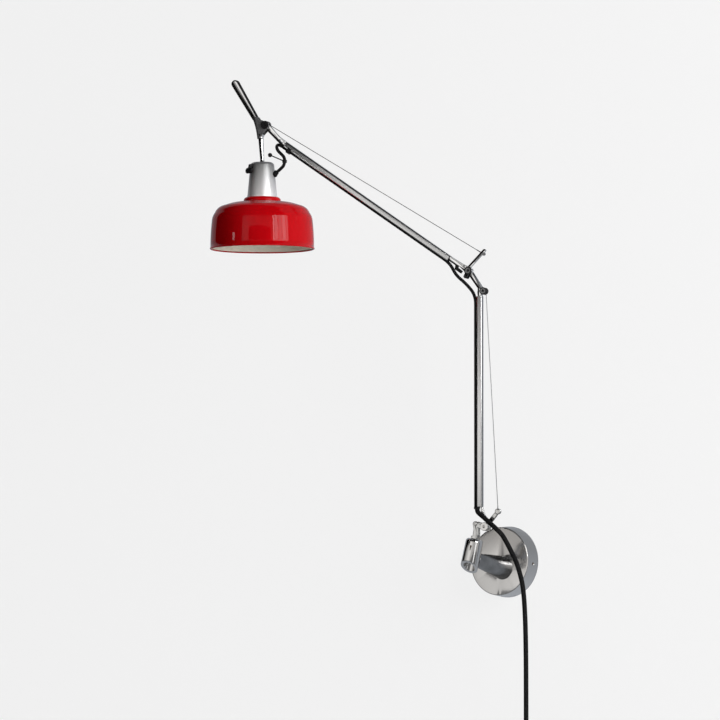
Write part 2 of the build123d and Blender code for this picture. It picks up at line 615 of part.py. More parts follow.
def wires():
    for name, anchor, wheel, groove_r, shank in (
            ("lower", lower_anchor, LOWER_PULLEY, GROOVE_R, LOWER_SHANK),
            ("upper", upper_anchor, HEAD_PIVOT, HEAD_GROOVE_R, UPPER_SHANK)):
        angle, length = wire_ends(anchor, wheel, groove_r)
        end = polar(anchor, angle, length)
        shank_end = polar(anchor, angle, shank)
        if name == "lower":
            ring = disc(anchor, ANCHOR_PIN_R + 1.4, -SLOT_W, SLOT_W)
            ring -= disc(anchor, ANCHOR_PIN_R + RUNNING_FIT, -20, 20)
            eye = ring + rod((*polar(anchor, angle, 2.0), 0), (*shank_end, 0), SHANK_R)
        else:
            nipple = disc(anchor, NIPPLE_R, -HUB_W, HUB_W)
            eye = nipple + rod((*anchor, 0), (*shank_end, 0), SHANK_R)
        save_arm(f"{name}_wire_eye", eye)
        save_arm(f"{name}_wire", rod((*shank_end, 0), (*end, 0), WIRE_R))
        print(f"{name} wire: {length:.1f} mm at {angle:.2f} degrees from "
              f"({anchor[0]:.2f}, {anchor[1]:.2f}), shank ends at height {shank_end[1]:.2f}")


# ---- head: bracket, handle and rod ----------------------------------------------------------------
def head():
    handle_root = shifted(HEAD_PIVOT, -17.5, 11.5)
    handle_tip = polar(handle_root, HANDLE_ANGLE, HANDLE_LENGTH)
    # the plate sweeps from the handle down to its point in a hollow curve and is cut off at 45
    # degrees under the pivot
    corner = shifted(HEAD_PIVOT, -21.5, 13.7)
    shoulder = shifted(HEAD_PIVOT, -12.5, 13.0)
    step = shifted(HEAD_PIVOT, -10.6, 9.4)
    over = shifted(HEAD_PIVOT, -2.7, 6.4)
    under = shifted(HEAD_PIVOT, 6.0, -4.0)
    point_right = shifted(HEAD_PIVOT, -10.6, -21.6)
    point_left = shifted(HEAD_PIVOT, -12.4, -21.6)
    swept = make_face(Polyline(corner, shoulder, step, over, under, point_right, point_left)
                      + ThreePointArc(point_left, shifted(HEAD_PIVOT, -15.4, -4.5), corner))
    outline = swept + Pos(*HEAD_PIVOT) * Circle(6.6)
    cheeks = pair(outline, HEAD_CHEEK_IN, HEAD_CHEEK_OUT)
    holes = disc(HEAD_PIVOT, HEAD_BOLT_R, -20, 20) + disc(ROD_PIN, ROD_PIN_R, -20, 20)
    save_arm("head_bracket", cheeks[0] - holes, cheeks[1] - holes)

    # the handle's root stands between the plates; the grip goes right down to it
    half = HEAD_CHEEK_IN - 0.2
    root_in, tip_in = HANDLE_ROOT_R - GRIP_WALL, HANDLE_TIP_R - GRIP_WALL
    core = slab(link(handle_root, handle_tip, root_in, tip_in), -half, half)
    core = fillet(core.edges().group_by(Axis.Z)[0] + core.edges().group_by(Axis.Z)[-1], 0.8)
    tang = slab(Pos(*handle_root) * Circle(2.0), -HEAD_CHEEK_IN, HEAD_CHEEK_IN)
    save_arm("handle_core", core + tang)
    sleeve = slab(link(handle_root, handle_tip, HANDLE_ROOT_R, HANDLE_TIP_R), -half + 0.7, half - 0.7)
    save_arm("handle_grip", sleeve - slab(link(handle_root, handle_tip, root_in, tip_in), -half, half))

    # tapered rod: its flat eye is pinned between the two plates, its foot turns in the lampholder
    rod_end = (LAMP_U, CAP_TOP_Z - 12.0)
    collar_top = (LAMP_U, CAP_TOP_Z + 3.0)
    eye = disc(ROD_PIN, ROD_TOP_R, -HEAD_CHEEK_IN, HEAD_CHEEK_IN)
    taper_axis = Vector(*collar_top) - Vector(*ROD_PIN)
    # the quarter turn keeps the cone's seam clear of the pins
    taper = Rot(0, 0, 90) * Cone(ROD_TOP_R - 0.5, ROD_R - 0.3, taper_axis.length + 1, align=CENTRE_MIN)
    taper = Plane(origin=(*ROD_PIN, 0), z_dir=taper_axis).location * taper
    foot_bar = rod((*collar_top, 0), (*rod_end, 0), ROD_R)
    flange = rod((*rod_end, 0), (rod_end[0], rod_end[1] - 2.5, 0), 8.0)
    head_rod = eye + taper + foot_bar + flange
    head_rod -= disc(ROD_PIN, ROD_PIN_R, -20, 20) + disc(ROD_DOT, 1.1, -20, 20)
    save_arm("head_rod", head_rod)
    pin = disc(ROD_PIN, ROD_PIN_R, -HEAD_CHEEK_OUT, HEAD_CHEEK_OUT)
    save_arm("rod_pin", pin, disc(ROD_DOT, 1.1, -ROD_TOP_R, ROD_TOP_R))
    bolt = pivot_bolt(HEAD_PIVOT, HEAD_BOLT_R, KNOB_R + 0.1, HEAD_CHEEK_OUT)
    save_arm("head_pivot_bolt", bolt - hex_recess(HEAD_PIVOT, 4, HEAD_CHEEK_OUT + CAP_W, 1.2))


# ---- lampholder and shade --------------------------------------------------------------------------
def turned_lamp(face):
    """Turn a profile of (radius, height) about the lamp's own upright axis."""
    solid = revolve(Plane.XZ * face, axis=Axis.Z)
    return Pos(LAMP_U, 0, 0) * Rot(-90, 0, 0) * solid


def lamp_ring(*points):
    return turned_lamp(make_face(Polyline(*points, close=True)))


SWITCH_W = 2.4
switch_axle = (LAMP_U - SWITCH_R, CUP_TOP_Z + 1.2)


def about_lamp(shape):
    """Turn a piece about the lamp's upright axis to where the switch stands."""
    return Pos(LAMP_U, 0, 0) * Rot(0, SWITCH_TURN, 0) * Pos(-LAMP_U, 0, 0) * shape


def lampholder():
    wall = CUP_WALL
    cup = lamp_ring((CUP_TOP_R, CUP_TOP_Z), (CUP_R - 0.3, CUP_Z + 3.2), (CUP_R, CUP_Z + 3.0), (CUP_R, CUP_Z),
                    (INSULATOR_R, CUP_Z), (INSULATOR_R, CUP_Z + 3.0), (CUP_R - 1.9, CUP_Z + 3.0),
                    (CUP_TOP_R - wall, CUP_TOP_Z))
    inner_top = CAP_TOP_Z - 11.9
    edge = make_face(
        Line((ROD_R + RUNNING_FIT, CAP_TOP_Z), (CUP_TOP_R - 6.2, CAP_TOP_Z))
        + ThreePointArc((CUP_TOP_R - 6.2, CAP_TOP_Z), (CUP_TOP_R - 1.7, CAP_TOP_Z - 1.9),
                        (CUP_TOP_R, CUP_TOP_Z))
        + Line((CUP_TOP_R, CUP_TOP_Z), (CUP_TOP_R - wall, CUP_TOP_Z))
        + Line((CUP_TOP_R - wall, CUP_TOP_Z), (CUP_TOP_R - wall, inner_top))
        + Line((CUP_TOP_R - wall, inner_top), (ROD_R + RUNNING_FIT, inner_top))
        + Line((ROD_R + RUNNING_FIT, inner_top), (ROD_R + RUNNING_FIT, CAP_TOP_Z)))
    cap = turned_lamp(edge)
    gland_tip = polar(GLAND_ROOT, GLAND_ANGLE, GLAND_LENGTH)
    inside = polar(GLAND_ROOT, GLAND_ANGLE, -2.5)
    gland = rod((*inside, 0), (*gland_tip, 0), HEAD_CORD_R + 1.4)
    cup = cup - rod((*inside, 0), (*gland_tip, 0), HEAD_CORD_R + 1.4)
    flange = rod((*GLAND_ROOT, 0), (*polar(GLAND_ROOT, GLAND_ANGLE, 3.4), 0), HEAD_CORD_R + 2.6)
    gland = gland + (flange - turned_lamp(make_face(Polyline(
        (0, CUP_Z), (CUP_R - 0.3, CUP_Z + 3.2), (CUP_TOP_R, CUP_TOP_Z), (0, CUP_TOP_Z), close=True))))
    # slot in the shoulder for the switch lever, and the lever's axle across it
    slot = Pos(LAMP_U - CUP_TOP_R, inner_top + 2.0, 0) * Box(
        CUP_TOP_R, 20, 2 * SWITCH_W + 0.6, align=(Align.CENTER, Align.MIN, Align.CENTER))
    axle = disc(switch_axle, 1.0, -SWITCH_W - 2.0, SWITCH_W + 2.0)
    cap = cap - about_lamp(slot) - about_lamp(axle)
    cup = cup - about_lamp(slot)
    save_arm("lampholder_cap", cap, about_lamp(axle))
    save_arm("lampholder_cup", cup)
    save_arm("cord_gland", gland)

    mouth = SOCKET_MOUTH_Z
    shell_r = SOCKET_R + SHELL_WALL
    room_r = shell_r + 0.1
    lip = mouth + 3
    top = lip + SOCKET_DEPTH
    # the centre contact lies in a recess above the screw shell
    roof = top + CONTACT_ROOM
    stem_r = CONTACT_STEM_R
    insulator = lamp_ring((INSULATOR_R, mouth), (INSULATOR_R, INSULATOR_TOP_Z), (stem_r, INSULATOR_TOP_Z),
                          (stem_r, roof), (CONTACT_R + 1, roof), (CONTACT_R + 1, top), (room_r, top),
                          (room_r, lip), (SOCKET_R, lip), (SOCKET_R, mouth))
    shell = lamp_ring((SOCKET_R, lip), (shell_r, lip), (shell_r, top), (SOCKET_R, top))
    contact = lamp_ring((0, roof - 1.5), (CONTACT_R, roof - 1.5), (CONTACT_R, roof), (stem_r, roof),
                        (stem_r, INSULATOR_TOP_Z), (0, INSULATOR_TOP_Z))
    save_arm("socket_insulator", insulator)
    save_arm("socket_shell_and_contact", shell, contact)


def shade():
    wall = SHADE_WALL
    hole_r = INSULATOR_R + GAP
    top = SHADE_TOP_Z
    crown, a, b, c, belly, rim = [(r, top - depth) for r, depth in (
        SHADE_CROWN, SHADE_SHOULDER, SHADE_SHOULDER_LOW, SHADE_SIDE, SHADE_BELLY, SHADE_RIM)]

    def between(p, q, out, up):
        return ((p[0] + q[0]) / 2 + out, (p[1] + q[1]) / 2 + up)

    in_a = (a[0] - wall * 0.3, a[1] - wall)
    in_b = (b[0] - wall * 0.8, b[1] - wall * 0.6)
    in_c = (c[0] - wall, c[1])
    profile = (Line((hole_r, top), (SHADE_TOP_R, top))
               + ThreePointArc((SHADE_TOP_R, top), crown, a)
               + ThreePointArc(a, between(a, b, 1.6, 1.9), b)
               + ThreePointArc(b, between(b, c, 0.8, 0.5), c)
               + ThreePointArc(c, belly, rim)
               + Line(rim, (rim[0] - wall, rim[1]))
               + ThreePointArc((rim[0] - wall, rim[1]), (belly[0] - wall, belly[1]), in_c)
               + ThreePointArc(in_c, between(in_b, in_c, 0.7, 0.3), in_b)
               + ThreePointArc(in_b, between(in_a, in_b, 1.6, 1.8), in_a)
               + ThreePointArc(in_a, (crown[0], crown[1] - wall), (SHADE_TOP_R, top - wall))
               + Line((SHADE_TOP_R, top - wall), (hole_r, top - wall))
               + Line((hole_r, top - wall), (hole_r, top)))
    bell = turned_lamp(make_face(profile))
    lip = turned_lamp(Pos(rim[0] - wall / 2 + 0.4, rim[1] - 0.6) * Circle(LIP_R))
    save_arm("shade", bell + lip)

    base = top
    height = CUP_Z - top
    ring = make_face(
        Line((hole_r, base), (COLLAR_R, base))
        + ThreePointArc((COLLAR_R, base), (COLLAR_R - 0.5, base + height * 0.72),
                        (COLLAR_R - 3.6, base + height))
        + Line((COLLAR_R - 3.6, base + height), (hole_r, base + height))
        + Line((hole_r, base + height), (hole_r, base)))
    save_arm("shade_collar", turned_lamp(ring))
    under = top - wall
    nut = lamp_ring((hole_r - GAP, under), (NUT_R, under), (NUT_R, under - NUT_HEIGHT + 1),
                    (NUT_R - 1, under - NUT_HEIGHT), (hole_r - GAP, under - NUT_HEIGHT))
    save_arm("shade_nut", nut)


def switch_lever():
    """Black lever: it comes out of the cap's slot and sweeps down beside the cup to an oval pad."""
    wx = LAMP_U - CUP_TOP_R
    knee = (wx - 3.2, CUP_TOP_Z + 0.6)
    pad_centre = (wx - 5.8, CUP_TOP_Z - 8.0)
    bar = slab(link(switch_axle, knee, 2.2, 1.9) + link(knee, pad_centre, 1.9, 1.5), -SWITCH_W, SWITCH_W)
    pad = Pos(*pad_centre, 0) * Rot(0, 0, -4) * Rot(0, 90, 0) * extrude(SlotOverall(16.5, 8.8), 1.9, both=True)
    pad = fillet(pad.edges(), 1.2)
    lever = bar + pad - disc(switch_axle, 1.0 + RUNNING_FIT, -20, 20)
    save_arm("switch_lever", about_lamp(lever))


# ---- cords, coil and plug ------------------------------------------------------------------------------
HANG_X = 82.4
HANG_Y = -77.0
COIL_Z = -318.0
COIL_OUTER_R = 50.0
COIL_GAP = 0.5
COIL_HALF_TURNS = 12
TAIL = 46.0

# the cord's loops, as steps from the elbow's pivot and from the upper tube's end
ELBOW_LOOP = [(10.3, -37.9), (-5.4, -19.4), (-21.7, -6.2), (-31.0, 12.2)]
HEAD_LOOP = [(-14.87, -2.13), (-13.07, -8.43), (-7.57, -13.83)]
STAY_AT = shifted(UPPER_TUBE_END, -1.37, -26.03)
STAY_BALL = shifted(UPPER_TUBE_END, -25.27, -15.63)
STAY_ANGLE = 265.0
GLAND_CORD_OUT = 10.5
LEAD_ROUTE = [(9.4, 77.2, 0.6), (10.0, 73.6, 1.6), (14.8, 70.4, 7.0), (23.0, 64.2, 12.2),
              (32.0, 57.0, 16.5), (39.0, 51.6, 19.6)]
POWER_ROUTE = [(57.8, -106.5, 36.5), (64.0, -101.0, 22.1), (69.7, -95.0, 6.2),
               (73.8, -90.0, -7.0), (76.5, -86.0, -21.2), (79.6, -82.0, -40.4), (80.8, -79.0, -66.7),
               (81.8, -77.5, -105.4), (82.4, -77.0, -159.5)]


def held_cords():
    lower = LOWER_TUBE_AT
    leaves = TUBE_LENGTH - CORD_LEAVES
    run = rod(along(lower, 90, 0, -CORD_OUT), along(lower, 90, leaves, -CORD_OUT), HEAD_CORD_R)
    save_arm("cord_lower_run", run)
    start = UPPER_TUBE_START
    enters = along(start, UPPER_ANGLE, CORD_ENTERS, -HEAD_CORD_OUT)
    run_start = along(start, UPPER_ANGLE, CORD_ENTERS + RUNNING_FIT, -HEAD_CORD_OUT)
    upper_run = rod(run_start, along(start, UPPER_ANGLE, TUBE_LENGTH, -HEAD_CORD_OUT), HEAD_CORD_R)
    save_arm("cord_upper_run", upper_run)

    route = [along(lower, 90, leaves, -CORD_OUT)]
    route += [(*shifted(ELBOW_PIVOT, *step), 0) for step in ELBOW_LOOP]
    route += [enters]
    save_arm("cord_elbow_loop", cord_tube("elbow loop", route, HEAD_CORD_R))

    route = [along(start, UPPER_ANGLE, TUBE_LENGTH, -HEAD_CORD_OUT),
             along(start, UPPER_ANGLE, TUBE_LENGTH + 9.2, -HEAD_CORD_OUT)]
    route += [(*shifted(UPPER_TUBE_END, *step), 0) for step in HEAD_LOOP]
    route += [(*polar(STAY_AT, STAY_ANGLE, -5.6), 0), (*STAY_AT, 0)]
    save_arm("cord_head_loop", cord_tube("head loop", route, HEAD_CORD_R))
    route = [(*STAY_AT, 0), (*polar(STAY_AT, STAY_ANGLE, 4.9), 0)]
    route += [(*polar(GLAND_ROOT, GLAND_ANGLE, GLAND_LENGTH + GLAND_CORD_OUT), 0),
              (*polar(GLAND_ROOT, GLAND_ANGLE, GLAND_LENGTH), 0)]
    save_arm("cord_gland_run", cord_tube("gland run", route, HEAD_CORD_R))

    ball = STAY_BALL
    collar_r = HEAD_CORD_R + 1.1
    collar = rod((*polar(STAY_AT, STAY_ANGLE, -2.3), 0), (*polar(STAY_AT, STAY_ANGLE, 2.3), 0), collar_r)
    collar -= rod((*polar(STAY_AT, STAY_ANGLE, -9), 0), (*polar(STAY_AT, STAY_ANGLE, 9), 0), HEAD_CORD_R)
    reach = Vector(ball[0] - STAY_AT[0], ball[1] - STAY_AT[1]).normalized() * (HEAD_CORD_R + 0.4)
    stem_from = (STAY_AT[0] + reach.X, STAY_AT[1] + reach.Y)
    stay = collar + rod((*stem_from, 0), (*ball, 0), 0.9) + Pos(*ball, 0) * Sphere(3.4)
    save_arm("cord_stay", stay)


def free_cord():
    # the lead comes out of the grommet under the tube and swings round the fork
    save_arm("cord_lead", cord_tube("lead", LEAD_ROUTE, CORD_R))
    joint = arm_plane.from_local_coords(Vector(*LEAD_ROUTE[-1]))
    before = arm_plane.from_local_coords(Vector(*LEAD_ROUTE[-2]))
    on = joint + (joint - before).normalized() * 10.5
    route = [tuple(joint), tuple(on)] + POWER_ROUTE + [(HANG_X, HANG_Y, COIL_Z)]
    save("power_cord", cord_tube("power cord", route, CORD_R))

    # the put-away length: two layers of turns, made of half circles that change side and size
    pitch = 2 * CORD_R + COIL_GAP
    layer = HANG_Y
    here = Vector(HANG_X, layer, COIL_Z)
    edges = []
    half = COIL_HALF_TURNS // 2 - 1
    for n in range(COIL_HALF_TURNS):
        r = COIL_OUTER_R - pitch / 2 * (n if n <= half else 2 * half - n)
        climb = pitch if n == half else 0.0
        side = -1 if n % 2 == 0 else 1
        there = Vector(here.X + side * 2 * r, here.Y + climb, COIL_Z)
        middle = (here + there) / 2 + Vector(0, 0, side * (here - there).length / 2)
        edges.append(ThreePointArc(here, middle, there))
        here = there
    tail_end = here - Vector(0, 0, TAIL)
    edges.append(Line(here, tail_end))
    path = Wire([e.edge() for e in edges])
    start = Plane(Vector(HANG_X, layer, COIL_Z), z_dir=(0, 0, -1))
    coil = sweep(start * Circle(CORD_R), path=path)
    samples = [[e.edge() @ (k / 24) for k in range(25)] for e in edges]
    nearest = min((p - q).length for i, a in enumerate(samples) for b in samples[i + 2:]
                  for p in a for q in b)
    print(f"coil: {path.length:.0f} mm in {COIL_HALF_TURNS / 2:.0f} turns, least gap to itself "
          f"{nearest - 2 * CORD_R:.2f} mm, volume {coil.volume / (math.pi * CORD_R ** 2 * path.length):.4f}")
    save("cord_coil", coil)

    # tie round the top of the turns
    tie_x = HANG_X - COIL_OUTER_R - pitch / 2
    reach_out = COIL_OUTER_R + pitch / 2 + CORD_R + GAP
    reach_in = COIL_OUTER_R - pitch / 2 * half - CORD_R - GAP
    deep = pitch + 2 * CORD_R + 2 * GAP
    tall = reach_out - reach_in
    loop = RectangleRounded(deep + 2.4, tall + 2.4, 4.6) - RectangleRounded(deep, tall, 3.4)
    band = extrude(loop, 5, both=True)
    tie = Pos(tie_x, layer + pitch / 2, COIL_Z + (reach_out + reach_in) / 2) * Rot(0, 90, 0) * Rot(0, 0, 90) * band
    save("coil_tie", tie)
    return tail_end


def plug(tail_end):
    x, y, z = tail_end
    relief = loft([Pos(x, y, z) * Circle(CORD_R + 1.0), Pos(x, y, z - 20) * Circle(6.3)])
    body_top = z - 20
    outline = [(-13.0, 0), (13.0, 0), (17.5, -9), (17.5, -30), (-17.5, -30), (-17.5, -9)]
    face = Plane(origin=(x, y, body_top), x_dir=(1, 0, 0), z_dir=(0, -1, 0)) * make_face(
        Polyline(*outline, close=True))
    body = extrude(face, 6.9, both=True)
    body = fillet(body.edges().filter_by(Axis.Y), 3.0)
    body = fillet(body.edges().group_by(Axis.Y)[0] + body.edges().group_by(Axis.Y)[-1], 1.6)
    save("plug_body", relief + body)
    pins = []
    for side in (-1, 1):
        at = Pos(x + side * PIN_SPACING / 2, y, body_top - 30 - PIN_LENGTH)
        pin = at * Cylinder(PIN_R, PIN_LENGTH, align=CENTRE_MIN)
        pins.append(fillet(pin.edges().group_by(Axis.Z)[0], 1.2))
    save("plug_pins", *pins)


wall_rose()
wall_bracket()
spigot_fork()
levers()
lower_arm()
upper_arm()
wires()
head()
lampholder()
shade()
switch_lever()
held_cords()
plug(free_cord())
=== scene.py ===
# %% [markdown]
# # An articulating wall lamp, dressed for a product picture
# The lamp's solids come from its CAD model: a polished wall rose and leaning barrel, two channelled arm tubes
# with balance wires, and a red shade on a satin lampholder. This script loads them as a fixed frame, gives
# every piece its finish, and makes what CAD leaves plain: the woven cord and the ribs on the plug.
# All lengths are in metres, +Z is up, and the wall is the plane Y = 0.

# %% Load the lamp
import json
import math

import bmesh
import bpy
from mathutils import Matrix, Vector


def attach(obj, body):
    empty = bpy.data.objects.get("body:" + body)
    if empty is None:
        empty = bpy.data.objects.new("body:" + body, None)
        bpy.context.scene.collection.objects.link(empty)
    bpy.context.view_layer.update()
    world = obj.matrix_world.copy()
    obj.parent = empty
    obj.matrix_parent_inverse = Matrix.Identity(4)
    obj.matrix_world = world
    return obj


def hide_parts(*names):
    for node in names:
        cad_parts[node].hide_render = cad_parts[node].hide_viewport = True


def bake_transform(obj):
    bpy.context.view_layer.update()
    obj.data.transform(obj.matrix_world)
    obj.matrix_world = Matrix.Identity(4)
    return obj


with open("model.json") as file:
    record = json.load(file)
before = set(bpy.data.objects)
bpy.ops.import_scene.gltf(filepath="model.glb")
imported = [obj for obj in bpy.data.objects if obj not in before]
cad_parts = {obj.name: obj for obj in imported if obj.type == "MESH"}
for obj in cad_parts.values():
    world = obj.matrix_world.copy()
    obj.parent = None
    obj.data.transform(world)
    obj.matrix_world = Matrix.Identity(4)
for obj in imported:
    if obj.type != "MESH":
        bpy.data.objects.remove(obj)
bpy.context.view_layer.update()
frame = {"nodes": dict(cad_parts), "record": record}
nodes = frame["nodes"]

# %% [markdown]
# ## Where the arm stands
# The arm swings in an upright plane that leans out from the wall. Measuring along that plane is much easier
# than in the room, so one small helper turns (along the arm, height, towards the viewer) into room
# coordinates. A helper like this is better than copying turned numbers, because each stays readable. The
# arm's own points below are in millimetres, as (along the arm, height).

# %% The arm's own plane
ARM_TURN = math.radians(15.4)
BARREL_OUT = 0.104
LOWER_TUBE = (13.9, 80.7)
UPPER_TUBE = (-36.0, 465.6)
UPPER_ANGLE = 145.4
TUBE_LENGTH = 325.5
ELBOW_PIVOT = (-3.4, 445.9)
LOWER_PULLEY = (21.1, 413.8)


def in_arm(u, z, w=0.0):
    """Room position of a point of the arm's plane, all three given in millimetres."""
    x = (u * math.cos(ARM_TURN) + w * math.sin(ARM_TURN)) / 1000
    y = (u * math.sin(ARM_TURN) - w * math.cos(ARM_TURN)) / 1000 - BARREL_OUT
    return Vector((x, y, z / 1000))


ARM_NORMAL = Vector((math.sin(ARM_TURN), -math.cos(ARM_TURN), 0))
LAMP_AXIS = in_arm(-342.0, 0)
print("lamp axis stands at", [round(c, 4) for c in LAMP_AXIS])

# %% [markdown]
# ## Camera
# The picture was taken with a long lens, from the right of the wall and a little below. A long lens far away
# keeps parallel lines parallel. The camera's three directions are written out, so its place follows from
# where the picture shows the middle of the rose's back, and from the size of a pixel there.

# %% Set the camera
AZIMUTH = math.radians(34.0)
ELEVATION = math.radians(-4.0)
PIXEL = 0.00155
PICTURE = 720
ROSE_AT = (508.5, 562)
DISTANCE = 16.0
SENSOR = 36.0
right = Vector((math.cos(AZIMUTH), math.sin(AZIMUTH), 0))
back = Vector((math.sin(AZIMUTH) * math.cos(ELEVATION), -math.cos(AZIMUTH) * math.cos(ELEVATION),
               math.sin(ELEVATION)))
up = back.cross(right)
middle = right * (PICTURE / 2 - ROSE_AT[0]) * PIXEL + up * (ROSE_AT[1] - PICTURE / 2) * PIXEL
camera_data = bpy.data.cameras.new("camera")
camera_data.sensor_width = SENSOR
camera_data.lens = SENSOR * DISTANCE / (PICTURE * PIXEL)
camera_data.clip_end = 60.0
camera = bpy.data.objects.new("camera", camera_data)
bpy.context.scene.collection.objects.link(camera)
turn = Matrix((right, up, back)).transposed()
camera.matrix_world = Matrix.Translation(middle + back * DISTANCE) @ turn.to_4x4()
bpy.context.scene.camera = camera
print("lens", round(camera_data.lens, 1), "mm at", DISTANCE, "m")


# %% [markdown]
# ## Making finishes
# Every finish is a small node tree. A helper makes a material with its shader and returns both, so that each
# finish below only adds what is special to it. Constant values sit on the shader's own sockets. The second
# group of helpers makes patterns from noise on Object coordinates, so that a pattern stays with its piece.

# %% A new finish, its nodes and its links
def new_material(name, color, roughness, metallic=0.0, **more):
    """A material with its main values on the shader's own sockets, and that shader."""
    material = bpy.data.materials.new(name)
    material.use_nodes = True
    shader = material.node_tree.nodes["Principled BSDF"]
    shader.inputs["Base Color"].default_value = (*color, 1)
    shader.inputs["Roughness"].default_value = roughness
    shader.inputs["Metallic"].default_value = metallic
    for socket, value in more.items():
        shader.inputs[socket.replace("_", " ")].default_value = value
    return material, shader


def add(owner, kind, **settings):
    """A new node in the tree of a material or of the world."""
    node = owner.node_tree.nodes.new(kind)
    for key, value in settings.items():
        setattr(node, key, value)
    return node


def join(owner, source, target):
    owner.node_tree.links.new(source, target)


def describe(*materials):
    for material in materials:
        print("finish", material.name, "has", len(material.node_tree.nodes), "nodes")


print("materials that came with the CAD model:", len(bpy.data.materials))


# %% Patterns on a piece
PATTERN_SPAN = (0.3, 0.7)


def noise_on(material, scale, detail):
    coordinates = add(material, "ShaderNodeTexCoord")
    noise = add(material, "ShaderNodeTexNoise")
    noise.inputs["Scale"].default_value = scale
    noise.inputs["Detail"].default_value = detail
    join(material, coordinates.outputs["Object"], noise.inputs["Vector"])
    return noise.outputs["Fac"]


def spread(material, source, low, high):
    """Stretch the span where most of a noise lies to the range between two values."""
    remap = add(material, "ShaderNodeMapRange")
    remap.inputs["From Min"].default_value, remap.inputs["From Max"].default_value = PATTERN_SPAN
    remap.inputs["To Min"].default_value = low
    remap.inputs["To Max"].default_value = high
    join(material, source, remap.inputs["Value"])
    return remap.outputs["Result"]


def two_shades(material, source, first, second, span=(0.0, 1.0)):
    """Blend from one colour to another while the source crosses a span."""
    ramp = add(material, "ShaderNodeValToRGB")
    for element, place, color in zip(ramp.color_ramp.elements, span, (first, second)):
        element.position = place
        element.color = (*color, 1)
    join(material, source, ramp.inputs["Fac"])
    return ramp.outputs["Color"]


def paint(material, shader, color):
    join(material, color, shader.inputs["Base Color"])


def grained(material, shader, scale, detail, low, high):
    """Vary the roughness between two values, as fine marks on the surface do."""
    grain = noise_on(material, scale, detail)
    join(material, spread(material, grain, low, high), shader.inputs["Roughness"])
    return grain


def bump_from(material, shader, source, strength, distance):
    bump = add(material, "ShaderNodeBump")
    bump.inputs["Strength"].default_value = strength
    bump.inputs["Distance"].default_value = distance
    join(material, source, bump.inputs["Height"])
    join(material, bump.outputs["Normal"], shader.inputs["Normal"])


print("noise is read between", *PATTERN_SPAN)


# %% [markdown]
# ## Edges, and lines across a piece
# A polishing wheel rounds every edge, and the Bevel shader node bends the shading there without more faces.
# The other helpers measure on the piece: how far a point lies along a direction, and on which side of a line
# in the arm's plane it stands. That is enough for stripes and for two colours that meet along a line.

# %% Edges and sides
def soft_edges(material, shader, radius):
    bevel = add(material, "ShaderNodeBevel", samples=8)
    bevel.inputs["Radius"].default_value = radius
    join(material, bevel.outputs["Normal"], shader.inputs["Normal"])


def along_way(material, vector, low, high, clamp=True):
    """0 to 1 between two distances along a direction, measured on the piece itself."""
    coordinates = add(material, "ShaderNodeTexCoord")
    distance = add(material, "ShaderNodeVectorMath", operation="DOT_PRODUCT")
    distance.inputs[1].default_value = vector
    join(material, coordinates.outputs["Object"], distance.inputs[0])
    remap = add(material, "ShaderNodeMapRange", clamp=clamp)
    remap.inputs["From Min"].default_value = low
    remap.inputs["From Max"].default_value = high
    join(material, distance.outputs["Value"], remap.inputs["Value"])
    return remap.outputs["Result"]


def right_of(material, u, z, angle, soft=0.0004):
    """0 on the left of a line in the arm's plane and 1 on its right, given in millimetres and degrees."""
    a = math.radians(angle)
    to_right, to_top = math.sin(a), -math.cos(a)
    zero = to_right * (u / 1000 - BARREL_OUT * math.sin(ARM_TURN)) + to_top * z / 1000
    vector = (to_right * math.cos(ARM_TURN), to_right * math.sin(ARM_TURN), to_top)
    return along_way(material, vector, zero - soft, zero + soft)


def combine(material, first, second, operation):
    node = add(material, "ShaderNodeMath", operation=operation)
    join(material, first, node.inputs[0])
    join(material, second, node.inputs[1])
    return node.outputs[0]


print("a direction across the arm's plane:", [round(c, 3) for c in ARM_NORMAL])

# %% [markdown]
# ## Polished steel
# The rose and the barrel are polished steel. A mirror shows its surroundings, so the finish itself can be
# nearly plain: a warm grey whose roughness varies a little, like fine polishing marks. The rose also has a
# gradient in its colour. That is painted shading. It was quick, but it is the weaker way: shading
# should come from the lamps, because a painted one is wrong as soon as the light changes.

# %% Polished steel
polished, shader = new_material("polished_steel", (0.70, 0.69, 0.68), 0.13, 1.0)
grained(polished, shader, 1600.0, 2.0, 0.11, 0.15)
soft_edges(polished, shader, 0.0007)

rose_steel, shader = new_material("rose_steel", (0.70, 0.68, 0.66), 0.14, 1.0)
grained(rose_steel, shader, 1600.0, 2.0, 0.12, 0.16)
height = along_way(rose_steel, (-0.35, 0, -1), -0.035, 0.025)
paint(rose_steel, shader, two_shades(rose_steel, height, (0.58, 0.565, 0.55), (0.86, 0.85, 0.84)))
soft_edges(rose_steel, shader, 0.0022)

neck_steel, shader = new_material("neck_steel", (0.30, 0.30, 0.30), 0.22, 1.0)
cloudy = noise_on(neck_steel, 60.0, 2.0)
paint(neck_steel, shader, two_shades(neck_steel, cloudy, (0.25, 0.25, 0.25), (0.36, 0.36, 0.36), PATTERN_SPAN))
describe(polished, rose_steel, neck_steel)

# %% [markdown]
# ## Links with a dark side
# In the picture the bright links are black along one side, where they mirror a dark room. The right way is a
# dark card that the metal mirrors. Here the dark side is painted into the base colour, along a line fixed to
# the piece and placed for the picture's view. This is a shortcut and not one to copy: when the piece turns,
# the light moves or one looks from the other side, a real reflection would wander and this one doesn't.

# %% Links with a painted dark side
BLACK, WHITE = (0.012, 0.012, 0.012), (0.95, 0.95, 0.95)


